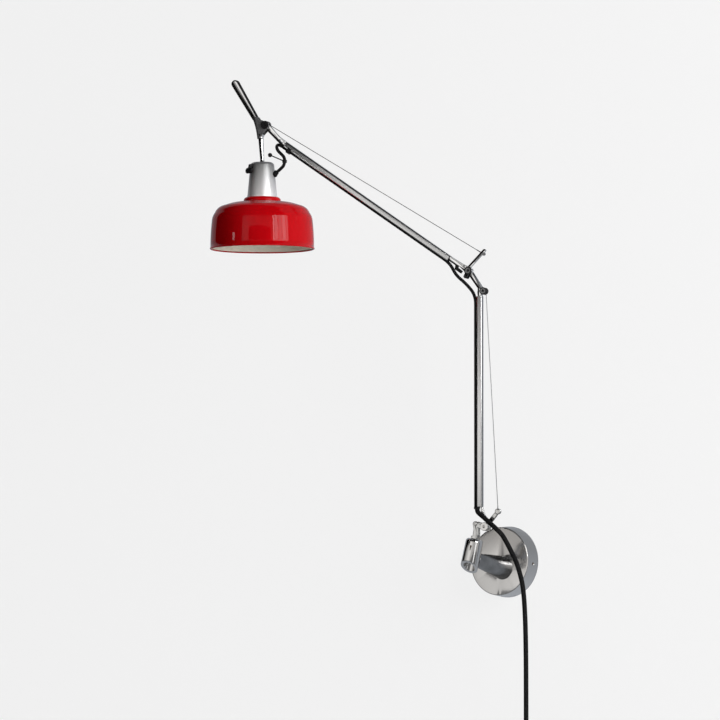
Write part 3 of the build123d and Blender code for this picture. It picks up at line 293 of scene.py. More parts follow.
def with_painted_dark_side(name, roughness, *lines):
    """A mirror finish with a painted dark reflection, black where it is left of every one of its lines."""
    material, shader = new_material(name, WHITE, roughness, 1.0)
    grained(material, shader, 900.0, 3.0, roughness * 0.7, roughness * 1.3)
    sides = [right_of(material, *line) for line in lines]
    side = sides[0] if len(sides) == 1 else combine(material, *sides, "MAXIMUM")
    paint(material, shader, two_shades(material, side, BLACK, WHITE))
    return material


lever_steel = with_painted_dark_side("lever_steel", 0.1, (-5.6, 448.1, 45.6))
strip_steel = with_painted_dark_side("strip_steel", 0.1, (14.6, 406.2, 90.0), (15.2, 419.0, 124.4))
foot_steel = with_painted_dark_side("foot_steel", 0.1, (-3.9, 445.2, 148.8))
fitting_steel = with_painted_dark_side("fitting_steel", 0.1, (-336.4, 680.9, 135.5))
rod_steel = with_painted_dark_side("rod_steel", 0.09, (-340.9, 627.0, 94.0, 0.0003))
describe(lever_steel, strip_steel, foot_steel, fitting_steel, rod_steel)

# %% [markdown]
# ## Fork and striped handle
# The fork and the lower links have no painted side. The real handle has fine stripes across it. A sine wave
# along its axis stands for them in colour only, which hardly shows from afar: turned grooves in the mesh would
# be better. Its dark left side is a painted reflection, made in the same way as on the links above.

# %% Fork and striped handle
fork_steel, shader = new_material("fork_steel", (0.62, 0.62, 0.61), 0.14, 1.0)
grained(fork_steel, shader, 900.0, 3.0, 0.1, 0.18)
soft_edges(fork_steel, shader, 0.0012)

HANDLE_AXIS = (0.826, 0.228, 0.515)
STRIPE = 0.00125
striped, shader = new_material("handle_steel", (0.7, 0.7, 0.7), 0.2, 1.0)
wave = add(striped, "ShaderNodeMath", operation="SINE")
join(striped, along_way(striped, HANDLE_AXIS, 0.0, STRIPE, clamp=False), wave.inputs[0])
bands = spread(striped, wave.outputs[0], 0.35, 1.0)
# painted reflection: the handle is black left of this line
rim = right_of(striped, -353.5, 692.9, 121.0, 0.0005)
bands_and_painted_side = combine(striped, bands, rim, "MINIMUM")
paint(striped, shader, two_shades(striped, bands_and_painted_side, BLACK, (0.93, 0.93, 0.93)))
soft_edges(striped, shader, 0.0006)
describe(fork_steel, striped)

# %% [markdown]
# ## Satin aluminium and plain metals
# The arm tubes are drawn and the lampholder is blasted aluminium, where fine noise in the roughness gives the
# satin look. The dark lines along both edges of a tube are painted shade and reflection, and the lampholder's
# gradient, darker towards the top, is painted shading, both with the same price as before. The small plated,
# bronzed and brass pieces differ only in colour and grain.

# %% Satin aluminium
TUBE_EDGES = (-3.7, 3.7, 4.7)


def satin_tube(name, start, angle):
    """Drawn satin aluminium with painted shade and reflection as a dark line along both edges of the tube."""
    material, shader = new_material(name, (0.8, 0.8, 0.8), 0.3, 1.0)
    grained(material, shader, 1500.0, 2.0, 0.26, 0.32)
    a = math.radians(angle)
    near, far, beyond = [right_of(material, start[0] + out * math.sin(a), start[1] - out * math.cos(a),
                                  angle, 0.0003) for out in TUBE_EDGES]
    far_line = combine(material, far, beyond, "SUBTRACT")
    middle_part = combine(material, near, far_line, "SUBTRACT")
    # painted shade and reflection: dark along both edges of the tube, light between them
    paint(material, shader, two_shades(material, middle_part, (0.02, 0.02, 0.02), (0.84, 0.84, 0.84)))
    return material


satin_lower = satin_tube("satin_lower", LOWER_TUBE, 90.0)
satin_upper = satin_tube("satin_upper", UPPER_TUBE, UPPER_ANGLE)

blasted, shader = new_material("blasted_aluminium", (0.50, 0.50, 0.50), 0.48, 0.7)
grain = grained(blasted, shader, 2600.0, 4.0, 0.40, 0.54)
# painted shade: the lampholder is darker towards its top
height = along_way(blasted, (0, 0, -1), -0.621, -0.572)
paint(blasted, shader, two_shades(blasted, height, (0.30, 0.30, 0.30), (0.95, 0.95, 0.95)))
bump_from(blasted, shader, grain, 0.25, 0.00005)
describe(satin_lower, satin_upper, blasted)


# %% Plain metals
def plain_metal(name, color, roughness, scale, low, high):
    material, shader = new_material(name, color, roughness, 1.0)
    grained(material, shader, scale, 2.0, low, high)
    return material


plated = plain_metal("plated_steel", (0.50, 0.51, 0.52), 0.32, 1500.0, 0.25, 0.4)
wire_steel = plain_metal("wire_steel", (0.30, 0.30, 0.31), 0.35, 3000.0, 0.28, 0.45)
bronze = plain_metal("bronzed_steel", (0.30, 0.23, 0.18), 0.35, 1500.0, 0.28, 0.42)
brass = plain_metal("nickel_brass", (0.74, 0.68, 0.52), 0.22, 1200.0, 0.16, 0.3)
describe(plated, wire_steel, bronze, brass)

# %% [markdown]
# ## Lacquer
# The shade is sprayed with a deep red gloss lacquer. A second clear layer, the shader's coat, gives the sharp
# highlight over a slightly softer colour, and a very low bump stands for the faint orange peel of spray
# paint. Its inside is cream. The two plates at the head are lacquered dark, with a left third painted darker
# still: a painted dark reflection, again placed for the camera's view.

# %% Red, cream and dark lacquer
red, shader = new_material("red_lacquer", (0.42, 0.003, 0.005), 0.4, 0.0, Coat_Weight=1.0, Coat_Roughness=0.02,
                           Coat_IOR=1.28, Specular_IOR_Level=0.0)
cloudy = noise_on(red, 18.0, 2.0)
paint(red, shader, two_shades(red, cloudy, (0.40, 0.001, 0.003), (0.46, 0.002, 0.005), PATTERN_SPAN))
bump_from(red, shader, noise_on(red, 900.0, 2.0), 0.04, 0.00003)

cream, shader = new_material("cream_lacquer", (0.86, 0.80, 0.70), 0.42)
cloudy = noise_on(cream, 120.0, 3.0)
paint(cream, shader, two_shades(cream, cloudy, (0.84, 0.77, 0.66), (0.88, 0.83, 0.74), PATTERN_SPAN))

dark_lacquer, shader = new_material("dark_lacquer", (0.030, 0.030, 0.032), 0.30, 0.0, Specular_IOR_Level=0.5)
grained(dark_lacquer, shader, 1400.0, 3.0, 0.24, 0.38)
# painted dark reflection: the plates are darker left of this line
side = right_of(dark_lacquer, -348.6, 676.0, 103.0, 0.0008)
paint(dark_lacquer, shader, two_shades(dark_lacquer, side, (0.004, 0.004, 0.004), (0.085, 0.085, 0.088)))
soft_edges(dark_lacquer, shader, 0.0006)
describe(red, cream, dark_lacquer)

# %% [markdown]
# ## Black plastics and rubber
# Knobs, caps and clips are black plastic with a fine moulded grain, the insulator and the shade's nut are a
# glossier hard plastic, and the grips are rubber. A low bump from the same noise as the roughness keeps the
# two together. On the knobs' faces a painted reflection lies in grey rings, measured from the two bolts' axes.

# %% Black plastics and rubber
black_plastic, shader = new_material("black_plastic", (0.008, 0.008, 0.0085), 0.42, Specular_IOR_Level=0.15)
grain = grained(black_plastic, shader, 2200.0, 3.0, 0.34, 0.5)
bump_from(black_plastic, shader, grain, 0.2, 0.00004)

bakelite, shader = new_material("black_bakelite", (0.012, 0.011, 0.010), 0.2, Specular_IOR_Level=0.3)
grained(bakelite, shader, 500.0, 3.0, 0.14, 0.28)

rubber, shader = new_material("black_rubber", (0.009, 0.009, 0.0095), 0.62, Specular_IOR_Level=0.12)
grain = grained(rubber, shader, 1800.0, 4.0, 0.55, 0.72)
bump_from(rubber, shader, grain, 0.3, 0.00005)
describe(black_plastic, bakelite, rubber)


# %% Rings on the knobs' faces
def from_bolt(material, centre):
    """How far a point of the piece stands from the axis of the bolt at this centre."""
    coordinates = add(material, "ShaderNodeTexCoord")
    offset = add(material, "ShaderNodeVectorMath", operation="SUBTRACT")
    offset.inputs[1].default_value = in_arm(*centre)
    join(material, coordinates.outputs["Object"], offset.inputs[0])
    flat = add(material, "ShaderNodeVectorMath", operation="CROSS_PRODUCT")
    flat.inputs[1].default_value = ARM_NORMAL
    join(material, offset.outputs["Vector"], flat.inputs[0])
    away = add(material, "ShaderNodeVectorMath", operation="LENGTH")
    join(material, flat.outputs["Vector"], away.inputs[0])
    return away.outputs["Value"]


RINGS_TO = 0.0065
RING_STEPS = ((0.22, 0.01), (0.30, 0.13), (0.55, 0.17))
LAST_RING = (0.66, 0.01)
knob_face, shader = new_material("knob_face", (0.09, 0.09, 0.092), 0.4, Specular_IOR_Level=0.4)
grained(knob_face, shader, 1600.0, 3.0, 0.34, 0.5)
# painted reflection: grey rings round the bolts' axes on the knobs' faces
nearest = combine(knob_face, from_bolt(knob_face, ELBOW_PIVOT), from_bolt(knob_face, LOWER_PULLEY), "MINIMUM")
rings = add(knob_face, "ShaderNodeMapRange")
rings.inputs["From Max"].default_value = RINGS_TO
join(knob_face, nearest, rings.inputs["Value"])
ramp = add(knob_face, "ShaderNodeValToRGB")
for place, value in RING_STEPS:
    ramp.color_ramp.elements.new(place).color = (value, value, value, 1)
ramp.color_ramp.elements[-1].position = LAST_RING[0]
for element in (ramp.color_ramp.elements[0], ramp.color_ramp.elements[-1]):
    element.color = (LAST_RING[1], LAST_RING[1], LAST_RING[1], 1)
join(knob_face, rings.outputs["Result"], ramp.inputs["Fac"])
paint(knob_face, shader, ramp.outputs["Color"])
describe(knob_face)

# %% [markdown]
# ## The woven cord's finish
# The cord wears a black textile braid. Two families of strands wind round it in opposite directions, so the
# pattern is built from the tube's own UV map: across is once round the cord, and along is measured in
# metres. Two slanting waves make the strands, and their product gives the small squares where they cross.

# %% Woven textile
STRANDS = 16
BRAID_PITCH = 0.012
woven, shader = new_material("woven_cord", (0.01, 0.01, 0.01), 0.7, 0.0, Specular_IOR_Level=0.12)
uv = add(woven, "ShaderNodeUVMap", uv_map="cord")
split = add(woven, "ShaderNodeSeparateXYZ")
join(woven, uv.outputs["UV"], split.inputs["Vector"])
strands = []
for sign in (1, -1):
    along = add(woven, "ShaderNodeMath", operation="MULTIPLY")
    along.inputs[1].default_value = sign / BRAID_PITCH
    join(woven, split.outputs["Y"], along.inputs[0])
    slant = combine(woven, split.outputs["X"], along.outputs[0], "ADD")
    waves = add(woven, "ShaderNodeMath", operation="MULTIPLY")
    waves.inputs[1].default_value = math.pi * STRANDS
    join(woven, slant, waves.inputs[0])
    strand = add(woven, "ShaderNodeMath", operation="SINE")
    join(woven, waves.outputs[0], strand.inputs[0])
    strands.append(strand.outputs[0])
relief = add(woven, "ShaderNodeMath", operation="ABSOLUTE")
join(woven, combine(woven, *strands, "MULTIPLY"), relief.inputs[0])
paint(woven, shader, two_shades(woven, relief.outputs[0], (0.002, 0.002, 0.002), (0.016, 0.016, 0.017)))
bump_from(woven, shader, relief.outputs[0], 0.5, 0.00025)
describe(woven)

# %% [markdown]
# ## Turning a CAD solid into a finished piece
# A CAD solid arrives as loose triangles with flat faces and knife-sharp edges. Real pieces have softened edges,
# and those thin roundings catch the light, so they matter more than anything else on polished metal. The helper
# takes a copy, merges its corners, joins the flat triangles to whole faces, rounds the edges with a Bevel
# modifier, and marks as sharp only what is left sharper than the limit, so that curved faces look curved.

# %% What the record says, and helpers for meshes
record = frame["record"]
body_of_node = {node: body for body, names in record["behaviour"]["bodies"].items() for node in names}


def stand(name, mesh):
    """A new object for a mesh, at the origin and unturned."""
    piece = bpy.data.objects.new(name, mesh)
    bpy.context.scene.collection.objects.link(piece)
    return piece


def plain_mesh(piece, name):
    """The piece's mesh with its modifiers applied, as a new object at the origin."""
    bpy.context.view_layer.update()
    result = bpy.data.meshes.new_from_object(piece.evaluated_get(bpy.context.evaluated_depsgraph_get()))
    bpy.data.objects.remove(piece)
    result.name = name
    return stand(name, result)


def smooth_by_angle(mesh, degrees):
    for face in mesh.polygons:
        face.use_smooth = True
    mesh.set_sharp_from_angle(angle=math.radians(degrees))


# %% Dress a solid
SAME_CORNER = 0.000002
SAME_PLANE = 0.6
ROUNDED_FROM = 38
SHARP_FROM = 36


def dressed(node, finish, edge):
    """A smooth, softly edged copy of a CAD node; it rides on the node's body and replaces it."""
    shape = bmesh.new()
    shape.from_mesh(nodes[node].data)
    bmesh.ops.remove_doubles(shape, verts=shape.verts, dist=SAME_CORNER)
    bmesh.ops.dissolve_limit(shape, angle_limit=math.radians(SAME_PLANE), verts=shape.verts, edges=shape.edges)
    mesh = bpy.data.meshes.new("soft_" + node)
    shape.to_mesh(mesh)
    shape.free()
    mesh.materials.clear()
    mesh.materials.append(finish)
    piece = stand("soft_" + node, mesh)
    if edge:
        bevel = piece.modifiers.new("soft edge", "BEVEL")
        bevel.width = edge
        bevel.segments = 2
        bevel.limit_method = "ANGLE"
        bevel.angle_limit = math.radians(ROUNDED_FROM)
        bevel.use_clamp_overlap = True
        piece = plain_mesh(piece, "soft_" + node)
    smooth_by_angle(piece.data, SHARP_FROM)
    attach(piece, body_of_node[node])
    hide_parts(node)
    return piece


print("edges sharper than", ROUNDED_FROM, "degrees get rounded")

# %% [markdown]
# ## Finishes for the rigid pieces
# One table says for each finish which pieces wear it and how far their edges are rounded, in millimetres. A
# table reads better than one line for each piece, and the print below lists what it leaves to other cells.
# The springs keep their CAD shape, and the knobs' faces get their rings in a cell of their own.
#
# One fault is left. Each balance wire rides stiffly on a body that slides along it, where the real wire stays
# hooked at one end. So near the joints' limits its lower end slides off its eye, or into it. Bending the wire
# between its eye's body and its own would be the way to mend that.

# %% Give each solid its finish
finishes = [
    (rose_steel, 0.4, ["rose_cover"]),
    (polished, 0.4, ["swivel_barrel", "fork_bolts"]),
    (neck_steel, 0.0, ["bracket_neck"]),
    (fork_steel, 0.35, ["spigot_fork", "lower_lever", "lower_foot"]),
    (strip_steel, 0.35, ["elbow_bracket"]),
    (lever_steel, 0.35, ["upper_lever"]),
    (foot_steel, 0.35, ["upper_foot"]),
    (fitting_steel, 0.35, ["head_fitting"]),
    (rod_steel, 0.3, ["head_rod"]),
    (striped, 0.5, ["handle_core"]),
    (satin_lower, 0.3, ["lower_tube"]),
    (satin_upper, 0.3, ["upper_tube"]),
    (blasted, 0.4, ["lampholder_cap", "lampholder_cup"]),
    (plated, 0.12, ["wall_plate"]),
    (bronze, 0.12, ["rose_set_screws", "barrel_grub_screw", "spigot_retaining_screw"]),
    (wire_steel, 0.0, ["lower_wire", "upper_wire", "lower_wire_eye", "upper_wire_eye"]),
    (brass, 0.2, ["plug_pins"]),
    (brass, 0.0, ["socket_shell_and_contact"]),
    (red, 0.3, ["shade_collar"]),
    (dark_lacquer, 0.3, ["head_bracket"]),
    (black_plastic, 0.3, ["swivel_bush", "rod_pin", "elbow_bolts", "lower_pulley_pin", "lower_pulley",
                          "lower_end_cap", "upper_end_cap", "cord_saddle", "head_pulley", "head_pivot_bolt",
                          "cord_stay", "cord_gland", "switch_lever"]),
    (bakelite, 0.4, ["socket_insulator", "shade_nut"]),
    (rubber, 0.5, ["plug_body", "handle_grip"]),
    (rubber, 0.8, ["coil_tie"]),
]
finished = {}
for finish, edge, names in finishes:
    for name in names:
        finished[name] = dressed(name, finish, edge / 1000)
print(len(finished), "solids dressed,", sum(len(p.data.polygons) for p in finished.values()), "faces")
print("left to other cells:", ", ".join(sorted(set(body_of_node) - set(finished))))

# %% Springs and knob faces
for name in ("lower_spring", "upper_spring"):
    nodes[name].data.materials.clear()
    nodes[name].data.materials.append(wire_steel)
for name in ("elbow_bolts", "lower_pulley_pin"):
    mesh = finished[name].data
    mesh.materials.append(knob_face)
    for face in mesh.polygons:
        if abs(face.normal.dot(ARM_NORMAL)) > 0.98:
            face.material_index = 1
    print(name, "has", sum(face.material_index for face in mesh.polygons), "faces with rings")

# %% [markdown]
# ## The shade, red outside and cream inside
# The shade is one spun bell with two colours of lacquer. Its copy gets both materials, and each face asks which
# way it looks: a face that looks towards a point in the middle of the bell belongs to the inside. The rolled
# lip at the rim stays red all round.

# %% Two colours on the shade
shade = dressed("shade", red, 0.0)
shade.data.materials.append(cream)
inside_point = Vector((LAMP_AXIS.x, LAMP_AXIS.y, 0.515))
RIM_TOP = 0.4915
count = 0
for face in shade.data.polygons:
    if face.normal.dot(face.center - inside_point) < 0 and face.center.z > RIM_TOP:
        face.material_index = 1
        count += 1
print("cream faces", count, "of", len(shade.data.polygons))


# %% [markdown]
# ## Cords as smooth tubes
# A cord follows one smooth NURBS line through the points that its route was planned with. The braid needs a
# UV map that runs along the cord, so the line is read back as points and a ring of vertices is set round
# each one. The rings are turned as little as possible from one to the next, which keeps the braid straight.

# %% A smooth line
def smooth_line(name, points):
    """Points along the NURBS spline that has these control points."""
    curve = bpy.data.curves.new(name, "CURVE")
    curve.dimensions = "3D"
    curve.resolution_u = 12
    spline = curve.splines.new("NURBS")
    spline.points.add(len(points) - 1)
    for control, point in zip(spline.points, points):
        control.co = (*point, 1)
    spline.order_u = 3
    spline.use_endpoint_u = True
    holder = bpy.data.objects.new(name, curve)
    mesh = bpy.data.meshes.new_from_object(holder)
    line = [v.co.copy() for v in mesh.vertices]
    bpy.data.objects.remove(holder)
    bpy.data.meshes.remove(mesh)
    return line


def length_of(line):
    return sum((b - a).length for a, b in zip(line, line[1:]))


print("the arm's plane keeps lengths:", round(length_of([in_arm(0, 0), in_arm(1000, 0)]), 6), "m for 1 m")


# %% A tube round the line
CORD_SIDES = 20


def cord_mesh(name, line, radius):
    """A closed tube round a line, with a UV map: across is once round, along is in metres."""
    tangents = [(line[min(i + 1, len(line) - 1)] - line[max(i - 1, 0)]).normalized() for i in range(len(line))]
    side = tangents[0].orthogonal().normalized()
    shape = bmesh.new()
    rings = []
    for point, tangent in zip(line, tangents):
        side = (side - tangent * side.dot(tangent)).normalized()
        other = tangent.cross(side)
        rings.append([shape.verts.new(point + radius * (
            side * math.cos(2 * math.pi * k / CORD_SIDES) + other * math.sin(2 * math.pi * k / CORD_SIDES)))
            for k in range(CORD_SIDES)])
    layer = shape.loops.layers.uv.new("cord")
    travelled = 0.0
    for i, (a, b) in enumerate(zip(rings, rings[1:])):
        step = (line[i + 1] - line[i]).length
        for k in range(CORD_SIDES):
            after = (k + 1) % CORD_SIDES
            face = shape.faces.new((a[k], a[after], b[after], b[k]))
            face.smooth = True
            spots = ((k, 0), (k + 1, 0), (k + 1, step), (k, step))
            for loop, (around, far) in zip(face.loops, spots):
                loop[layer].uv = (around / CORD_SIDES, travelled + far)
        travelled += step
    shape.faces.new(list(reversed(rings[0])))
    shape.faces.new(rings[-1])
    mesh = bpy.data.meshes.new(name)
    shape.to_mesh(mesh)
    shape.free()
    mesh.materials.append(woven)
    piece = stand(name, mesh)
    return piece


print("a cord has", CORD_SIDES, "sides")

# %% [markdown]
# ## The cord in the arm
# Each arm tube carries the cord in an open channel, and it jumps across the joints in small loops. The
# stretches in the channels are straight and ride on their tube. Each loop is one smooth tube across its
# joint, shaped for the rest pose.

# %% Cord in the channels
CORD_R = 0.0037
ARM_CORD_R = 0.0025
CORD_OUT = 7.0
HEAD_CORD_OUT = 5.2
CORD_LEAVES = 12.0
CORD_ENTERS = 6.0


def onward(start, angle, distance):
    a = math.radians(angle)
    return (start[0] + distance * math.cos(a), start[1] + distance * math.sin(a))


def along_tube(start, angle, distance, side):
    """A point at a distance along a tube and beside it; the channel's side is negative."""
    a = math.radians(angle)
    return (start[0] + distance * math.cos(a) + side * math.sin(a),
            start[1] + distance * math.sin(a) - side * math.cos(a))


def tube_run(name, start, angle, side, span, body, node):
    """The cord's straight stretch in a tube's channel, between two distances along the tube."""
    low, high = span
    points = [in_arm(*along_tube(start, angle, low + (high - low) * k / 4, side)) for k in range(5)]
    piece = cord_mesh(name, points, ARM_CORD_R)
    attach(piece, body)
    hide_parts(node)
    print(name, round(length_of(points) * 1000, 1), "mm")


leaves = TUBE_LENGTH - CORD_LEAVES
tube_run("woven_lower_run", LOWER_TUBE, 90, -CORD_OUT, (-1, leaves), "lower_arm", "cord_lower_run")
tube_run("woven_upper_run", UPPER_TUBE, UPPER_ANGLE, -HEAD_CORD_OUT, (CORD_ENTERS, TUBE_LENGTH), "upper_arm",
         "cord_upper_run")


# %% Loop at the elbow
def beside_elbow(right_by, up_by):
    return (ELBOW_PIVOT[0] + right_by, ELBOW_PIVOT[1] + up_by)


elbow_route = [in_arm(*p) for p in (
    along_tube(LOWER_TUBE, 90, leaves, -CORD_OUT), beside_elbow(10.3, -37.9), beside_elbow(-5.4, -19.4),
    beside_elbow(-21.7, -6.2), beside_elbow(-31.0, 12.2),
    along_tube(UPPER_TUBE, UPPER_ANGLE, CORD_ENTERS, -HEAD_CORD_OUT))]
line = smooth_line("elbow_line", elbow_route)
elbow_loop = cord_mesh("woven_elbow_loop", line, ARM_CORD_R)
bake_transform(elbow_loop)
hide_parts("cord_elbow_loop")
print("elbow loop", round(length_of(line) * 1000, 1), "mm")

# %% Loop at the head, and the cord into the gland
STAY_AT = (-305.3, 624.4)
STAY_ANGLE = 265.0
GLAND_ROOT = (-323.1, 603.8)
GLAND_ANGLE = 38.0
head_route = [in_arm(*p) for p in (
    along_tube(UPPER_TUBE, UPPER_ANGLE, TUBE_LENGTH, -HEAD_CORD_OUT),
    along_tube(UPPER_TUBE, UPPER_ANGLE, TUBE_LENGTH + 9.2, -HEAD_CORD_OUT),
    (-318.8, 648.3), (-317.0, 642.0), (-311.5, 636.6), onward(STAY_AT, STAY_ANGLE, -5.6), STAY_AT)]
line = smooth_line("head_line", head_route)
head_loop = cord_mesh("woven_head_loop", line, ARM_CORD_R)
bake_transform(head_loop)
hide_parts("cord_head_loop")
print("head loop", round(length_of(line) * 1000, 1), "mm")

gland_route = [in_arm(*p) for p in (
    STAY_AT, onward(STAY_AT, STAY_ANGLE, 4.9), onward(GLAND_ROOT, GLAND_ANGLE, 17.5),
    onward(GLAND_ROOT, GLAND_ANGLE, 7.0))]
line = smooth_line("gland_line", gland_route)
gland_run = cord_mesh("woven_gland_run", line, ARM_CORD_R)
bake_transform(gland_run)
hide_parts("cord_gland_run")
print("gland run", round(length_of(line) * 1000, 1), "mm")

# %% [markdown]
# ## Ribs on the plug's grip
# Moulded plugs carry small ribs where fingers pull. They repeat at an even step, which is work for Geometry
# Nodes: a line of points, a ring on each point, made real and given its material. The number, step and
# thickness are inputs of the group, so the grip can be changed without touching the shape. The result is
# turned into a plain mesh before it joins the other pieces.

# %% A node group that grows ribs
RIB_INPUTS = (("Count", "NodeSocketInt"), ("Step", "NodeSocketFloat"), ("Ring radius", "NodeSocketFloat"),
              ("Rib radius", "NodeSocketFloat"), ("Material", "NodeSocketMaterial"))


def rib_group():
    group = bpy.data.node_groups.new("plug_ribs", "GeometryNodeTree")
    group.interface.new_socket(name="Geometry", in_out="OUTPUT", socket_type="NodeSocketGeometry")
    group.interface.new_socket(name="Geometry", in_out="INPUT", socket_type="NodeSocketGeometry")
    for label, kind in RIB_INPUTS:
        group.interface.new_socket(name=label, in_out="INPUT", socket_type=kind)
    place = group.nodes.new
    source, result = place("NodeGroupInput"), place("NodeGroupOutput")
    step = place("ShaderNodeCombineXYZ")
    line = place("GeometryNodeMeshLine")
    ring, profile = place("GeometryNodeCurvePrimitiveCircle"), place("GeometryNodeCurvePrimitiveCircle")
    ring.inputs["Resolution"].default_value = 48
    profile.inputs["Resolution"].default_value = 10
    rib = place("GeometryNodeCurveToMesh")
    many = place("GeometryNodeInstanceOnPoints")
    real = place("GeometryNodeRealizeInstances")
    dress = place("GeometryNodeSetMaterial")
    link = group.links.new
    link(source.outputs["Step"], step.inputs["Z"])
    link(source.outputs["Count"], line.inputs["Count"])
    link(step.outputs["Vector"], line.inputs["Offset"])
    link(source.outputs["Ring radius"], ring.inputs["Radius"])
    link(source.outputs["Rib radius"], profile.inputs["Radius"])
    link(ring.outputs["Curve"], rib.inputs["Curve"])
    link(profile.outputs["Curve"], rib.inputs["Profile Curve"])
    link(line.outputs["Mesh"], many.inputs["Points"])
    link(rib.outputs["Mesh"], many.inputs["Instance"])
    link(many.outputs["Instances"], real.inputs["Geometry"])
    link(real.outputs["Geometry"], dress.inputs["Geometry"])
    link(source.outputs["Material"], dress.inputs["Material"])
    link(dress.outputs["Geometry"], result.inputs["Geometry"])
    return group


group = rib_group()
print("rib group has", len(group.nodes), "nodes and", len(RIB_INPUTS), "inputs to set")

# %% Put the ribs on the plug
plug_box = [nodes["plug_body"].matrix_world @ v.co for v in nodes["plug_body"].data.vertices]
plug_x = (min(q.x for q in plug_box) + max(q.x for q in plug_box)) / 2
plug_y = (min(q.y for q in plug_box) + max(q.y for q in plug_box)) / 2
ribs_from = max(q.z for q in plug_box) - 0.017
ribs = stand("plug_ribs", bpy.data.meshes.new("plug_ribs"))
modifier = ribs.modifiers.new("ribs", "NODES")
modifier.node_group = group
socket_of = {item.name: item.identifier for item in group.interface.items_tree if item.in_out == "INPUT"}
for label, value in (("Count", 5), ("Step", 0.0032), ("Ring radius", 0.0057), ("Rib radius", 0.0008),
                     ("Material", rubber)):
    modifier[socket_of[label]] = value
ribs = plain_mesh(ribs, "plug_ribs")
for vertex in ribs.data.vertices:
    vertex.co += Vector((plug_x, plug_y, ribs_from))
for face in ribs.data.polygons:
    face.use_smooth = True
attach(ribs, body_of_node["plug_body"])
print("ribs:", len(ribs.data.polygons), "faces, from height", round(ribs_from, 4))

# %% [markdown]
# ## The power cord
# From the lower tube the cord crosses in front of the fork, falls past the rose and hangs straight down. The
# length that the picture doesn't show hangs below as a tied coil. It is one line from the fork to the plug:
# the coil's turns are more points of the same spline, so the tube never breaks.

# %% Lead across the fork
lead_route = [in_arm(*p) for p in (
    (9.4, 77.2, 0.6), (9.9, 73.5, 1.6), (14.5, 70.0, 7.2), (23.0, 64.2, 12.2), (32.0, 57.0, 16.5),
    (39.0, 51.6, 19.6))]
line = smooth_line("lead_line", lead_route)
lead = cord_mesh("woven_lead", line, CORD_R)
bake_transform(lead)
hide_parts("cord_lead")
print("lead", round(length_of(line) * 1000, 1), "mm")

# %% The way down and round the coil
COIL_FROM = Vector((0.0824, -0.077, -0.318))
PITCH = 2 * CORD_R + 0.0005
OUTER_TURN = 0.050
HALF_TURNS = 12
POINTS_PER_HALF = 8
TAIL = 0.046
joint = lead_route[-1]
onto = joint + (joint - lead_route[-2]).normalized() * 0.0105
hang_route = [joint, onto] + [Vector(p) / 1000 for p in (
    (57.8, -106.5, 36.5), (64.0, -101.0, 22.1), (69.7, -95.0, 6.2), (73.8, -90.0, -7.0), (76.5, -86.0, -21.2),
    (79.6, -82.0, -40.4), (80.8, -79.0, -66.7), (81.8, -77.5, -105.4), (82.4, -77.0, -159.5),
    (82.4, -77.0, -240.0), (82.4, -77.0, -300.0))]
coil_route = []
here = COIL_FROM.copy()
middle_turn = HALF_TURNS // 2 - 1
for n in range(HALF_TURNS):
    radius = OUTER_TURN - PITCH / 2 * (n if n <= middle_turn else 2 * middle_turn - n)
    climb = PITCH if n == middle_turn else 0.0
    side = -1 if n % 2 == 0 else 1
    centre = here + Vector((side * radius, climb / 2, 0))
    for k in range(POINTS_PER_HALF):
        a = math.pi * (k + 0.5) / POINTS_PER_HALF
        grow = radius / math.cos(math.pi / POINTS_PER_HALF / 2)
        coil_route.append(centre + Vector((-side * grow * math.cos(a), -climb / 2 * math.cos(a),
                                           side * grow * math.sin(a))))
    here = here + Vector((side * 2 * radius, climb, 0))
tail_route = [here + Vector((0, 0, -0.012)), here + Vector((0, 0, -TAIL))]
print("the route has", len(hang_route + coil_route + tail_route), "points")

# %% Hanging cord and coil
line = smooth_line("power_line", hang_route + coil_route + tail_route)
power = cord_mesh("woven_power_cord", line, CORD_R)
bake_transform(power)
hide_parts("power_cord", "cord_coil")
print("power cord", round(length_of(line), 3), "m")


# %% [markdown]
# ## Wall and floor
# The lamp hangs on a pale wall. For the camera most of the wall's brightness is a plain glow, so that the
# shadow on it stays soft and light. Polished metal sees the wall as a quiet bluish grey instead, for contrast.
# A real mirror would show the same pale wall as the camera does, so that is a second shortcut. Seen from
# behind, the wall is clear, so that the lamp can be looked at from every side.

# %% The backdrop's finish
def mix(material, share, first, second):
    node = add(material, "ShaderNodeMixShader")
    join(material, share, node.inputs["Fac"])
    join(material, first, node.inputs[1])
    join(material, second, node.inputs[2])
    return node.outputs["Shader"]


def glow(material, color, strength=1.0):
    light = add(material, "ShaderNodeEmission")
    light.inputs["Color"].default_value = (*color, 1)
    light.inputs["Strength"].default_value = strength
    return light.outputs["Emission"]


def surface(material, result):
    join(material, result, material.node_tree.nodes["Material Output"].inputs["Surface"])


def backdrop_material(name, seen, mirrored, share):
    """A wall finish: its look to the camera is part glow and part lit surface; metal sees its own grey."""
    material, shader = new_material(name, (0.86, 0.86, 0.86), 0.9)
    rays = add(material, "ShaderNodeLightPath")
    fraction = add(material, "ShaderNodeMath", operation="MULTIPLY")
    fraction.inputs[1].default_value = share
    join(material, rays.outputs["Is Camera Ray"], fraction.inputs[0])
    lit = mix(material, fraction.outputs[0], shader.outputs["BSDF"], glow(material, seen))
    through = combine(material, rays.outputs["Is Glossy Ray"], rays.outputs["Is Transmission Ray"], "MAXIMUM")
    both = mix(material, through, lit, glow(material, mirrored))
    facing = add(material, "ShaderNodeNewGeometry")
    clear = add(material, "ShaderNodeBsdfTransparent")
    surface(material, mix(material, facing.outputs["Backfacing"], both, clear.outputs["BSDF"]))
    return material


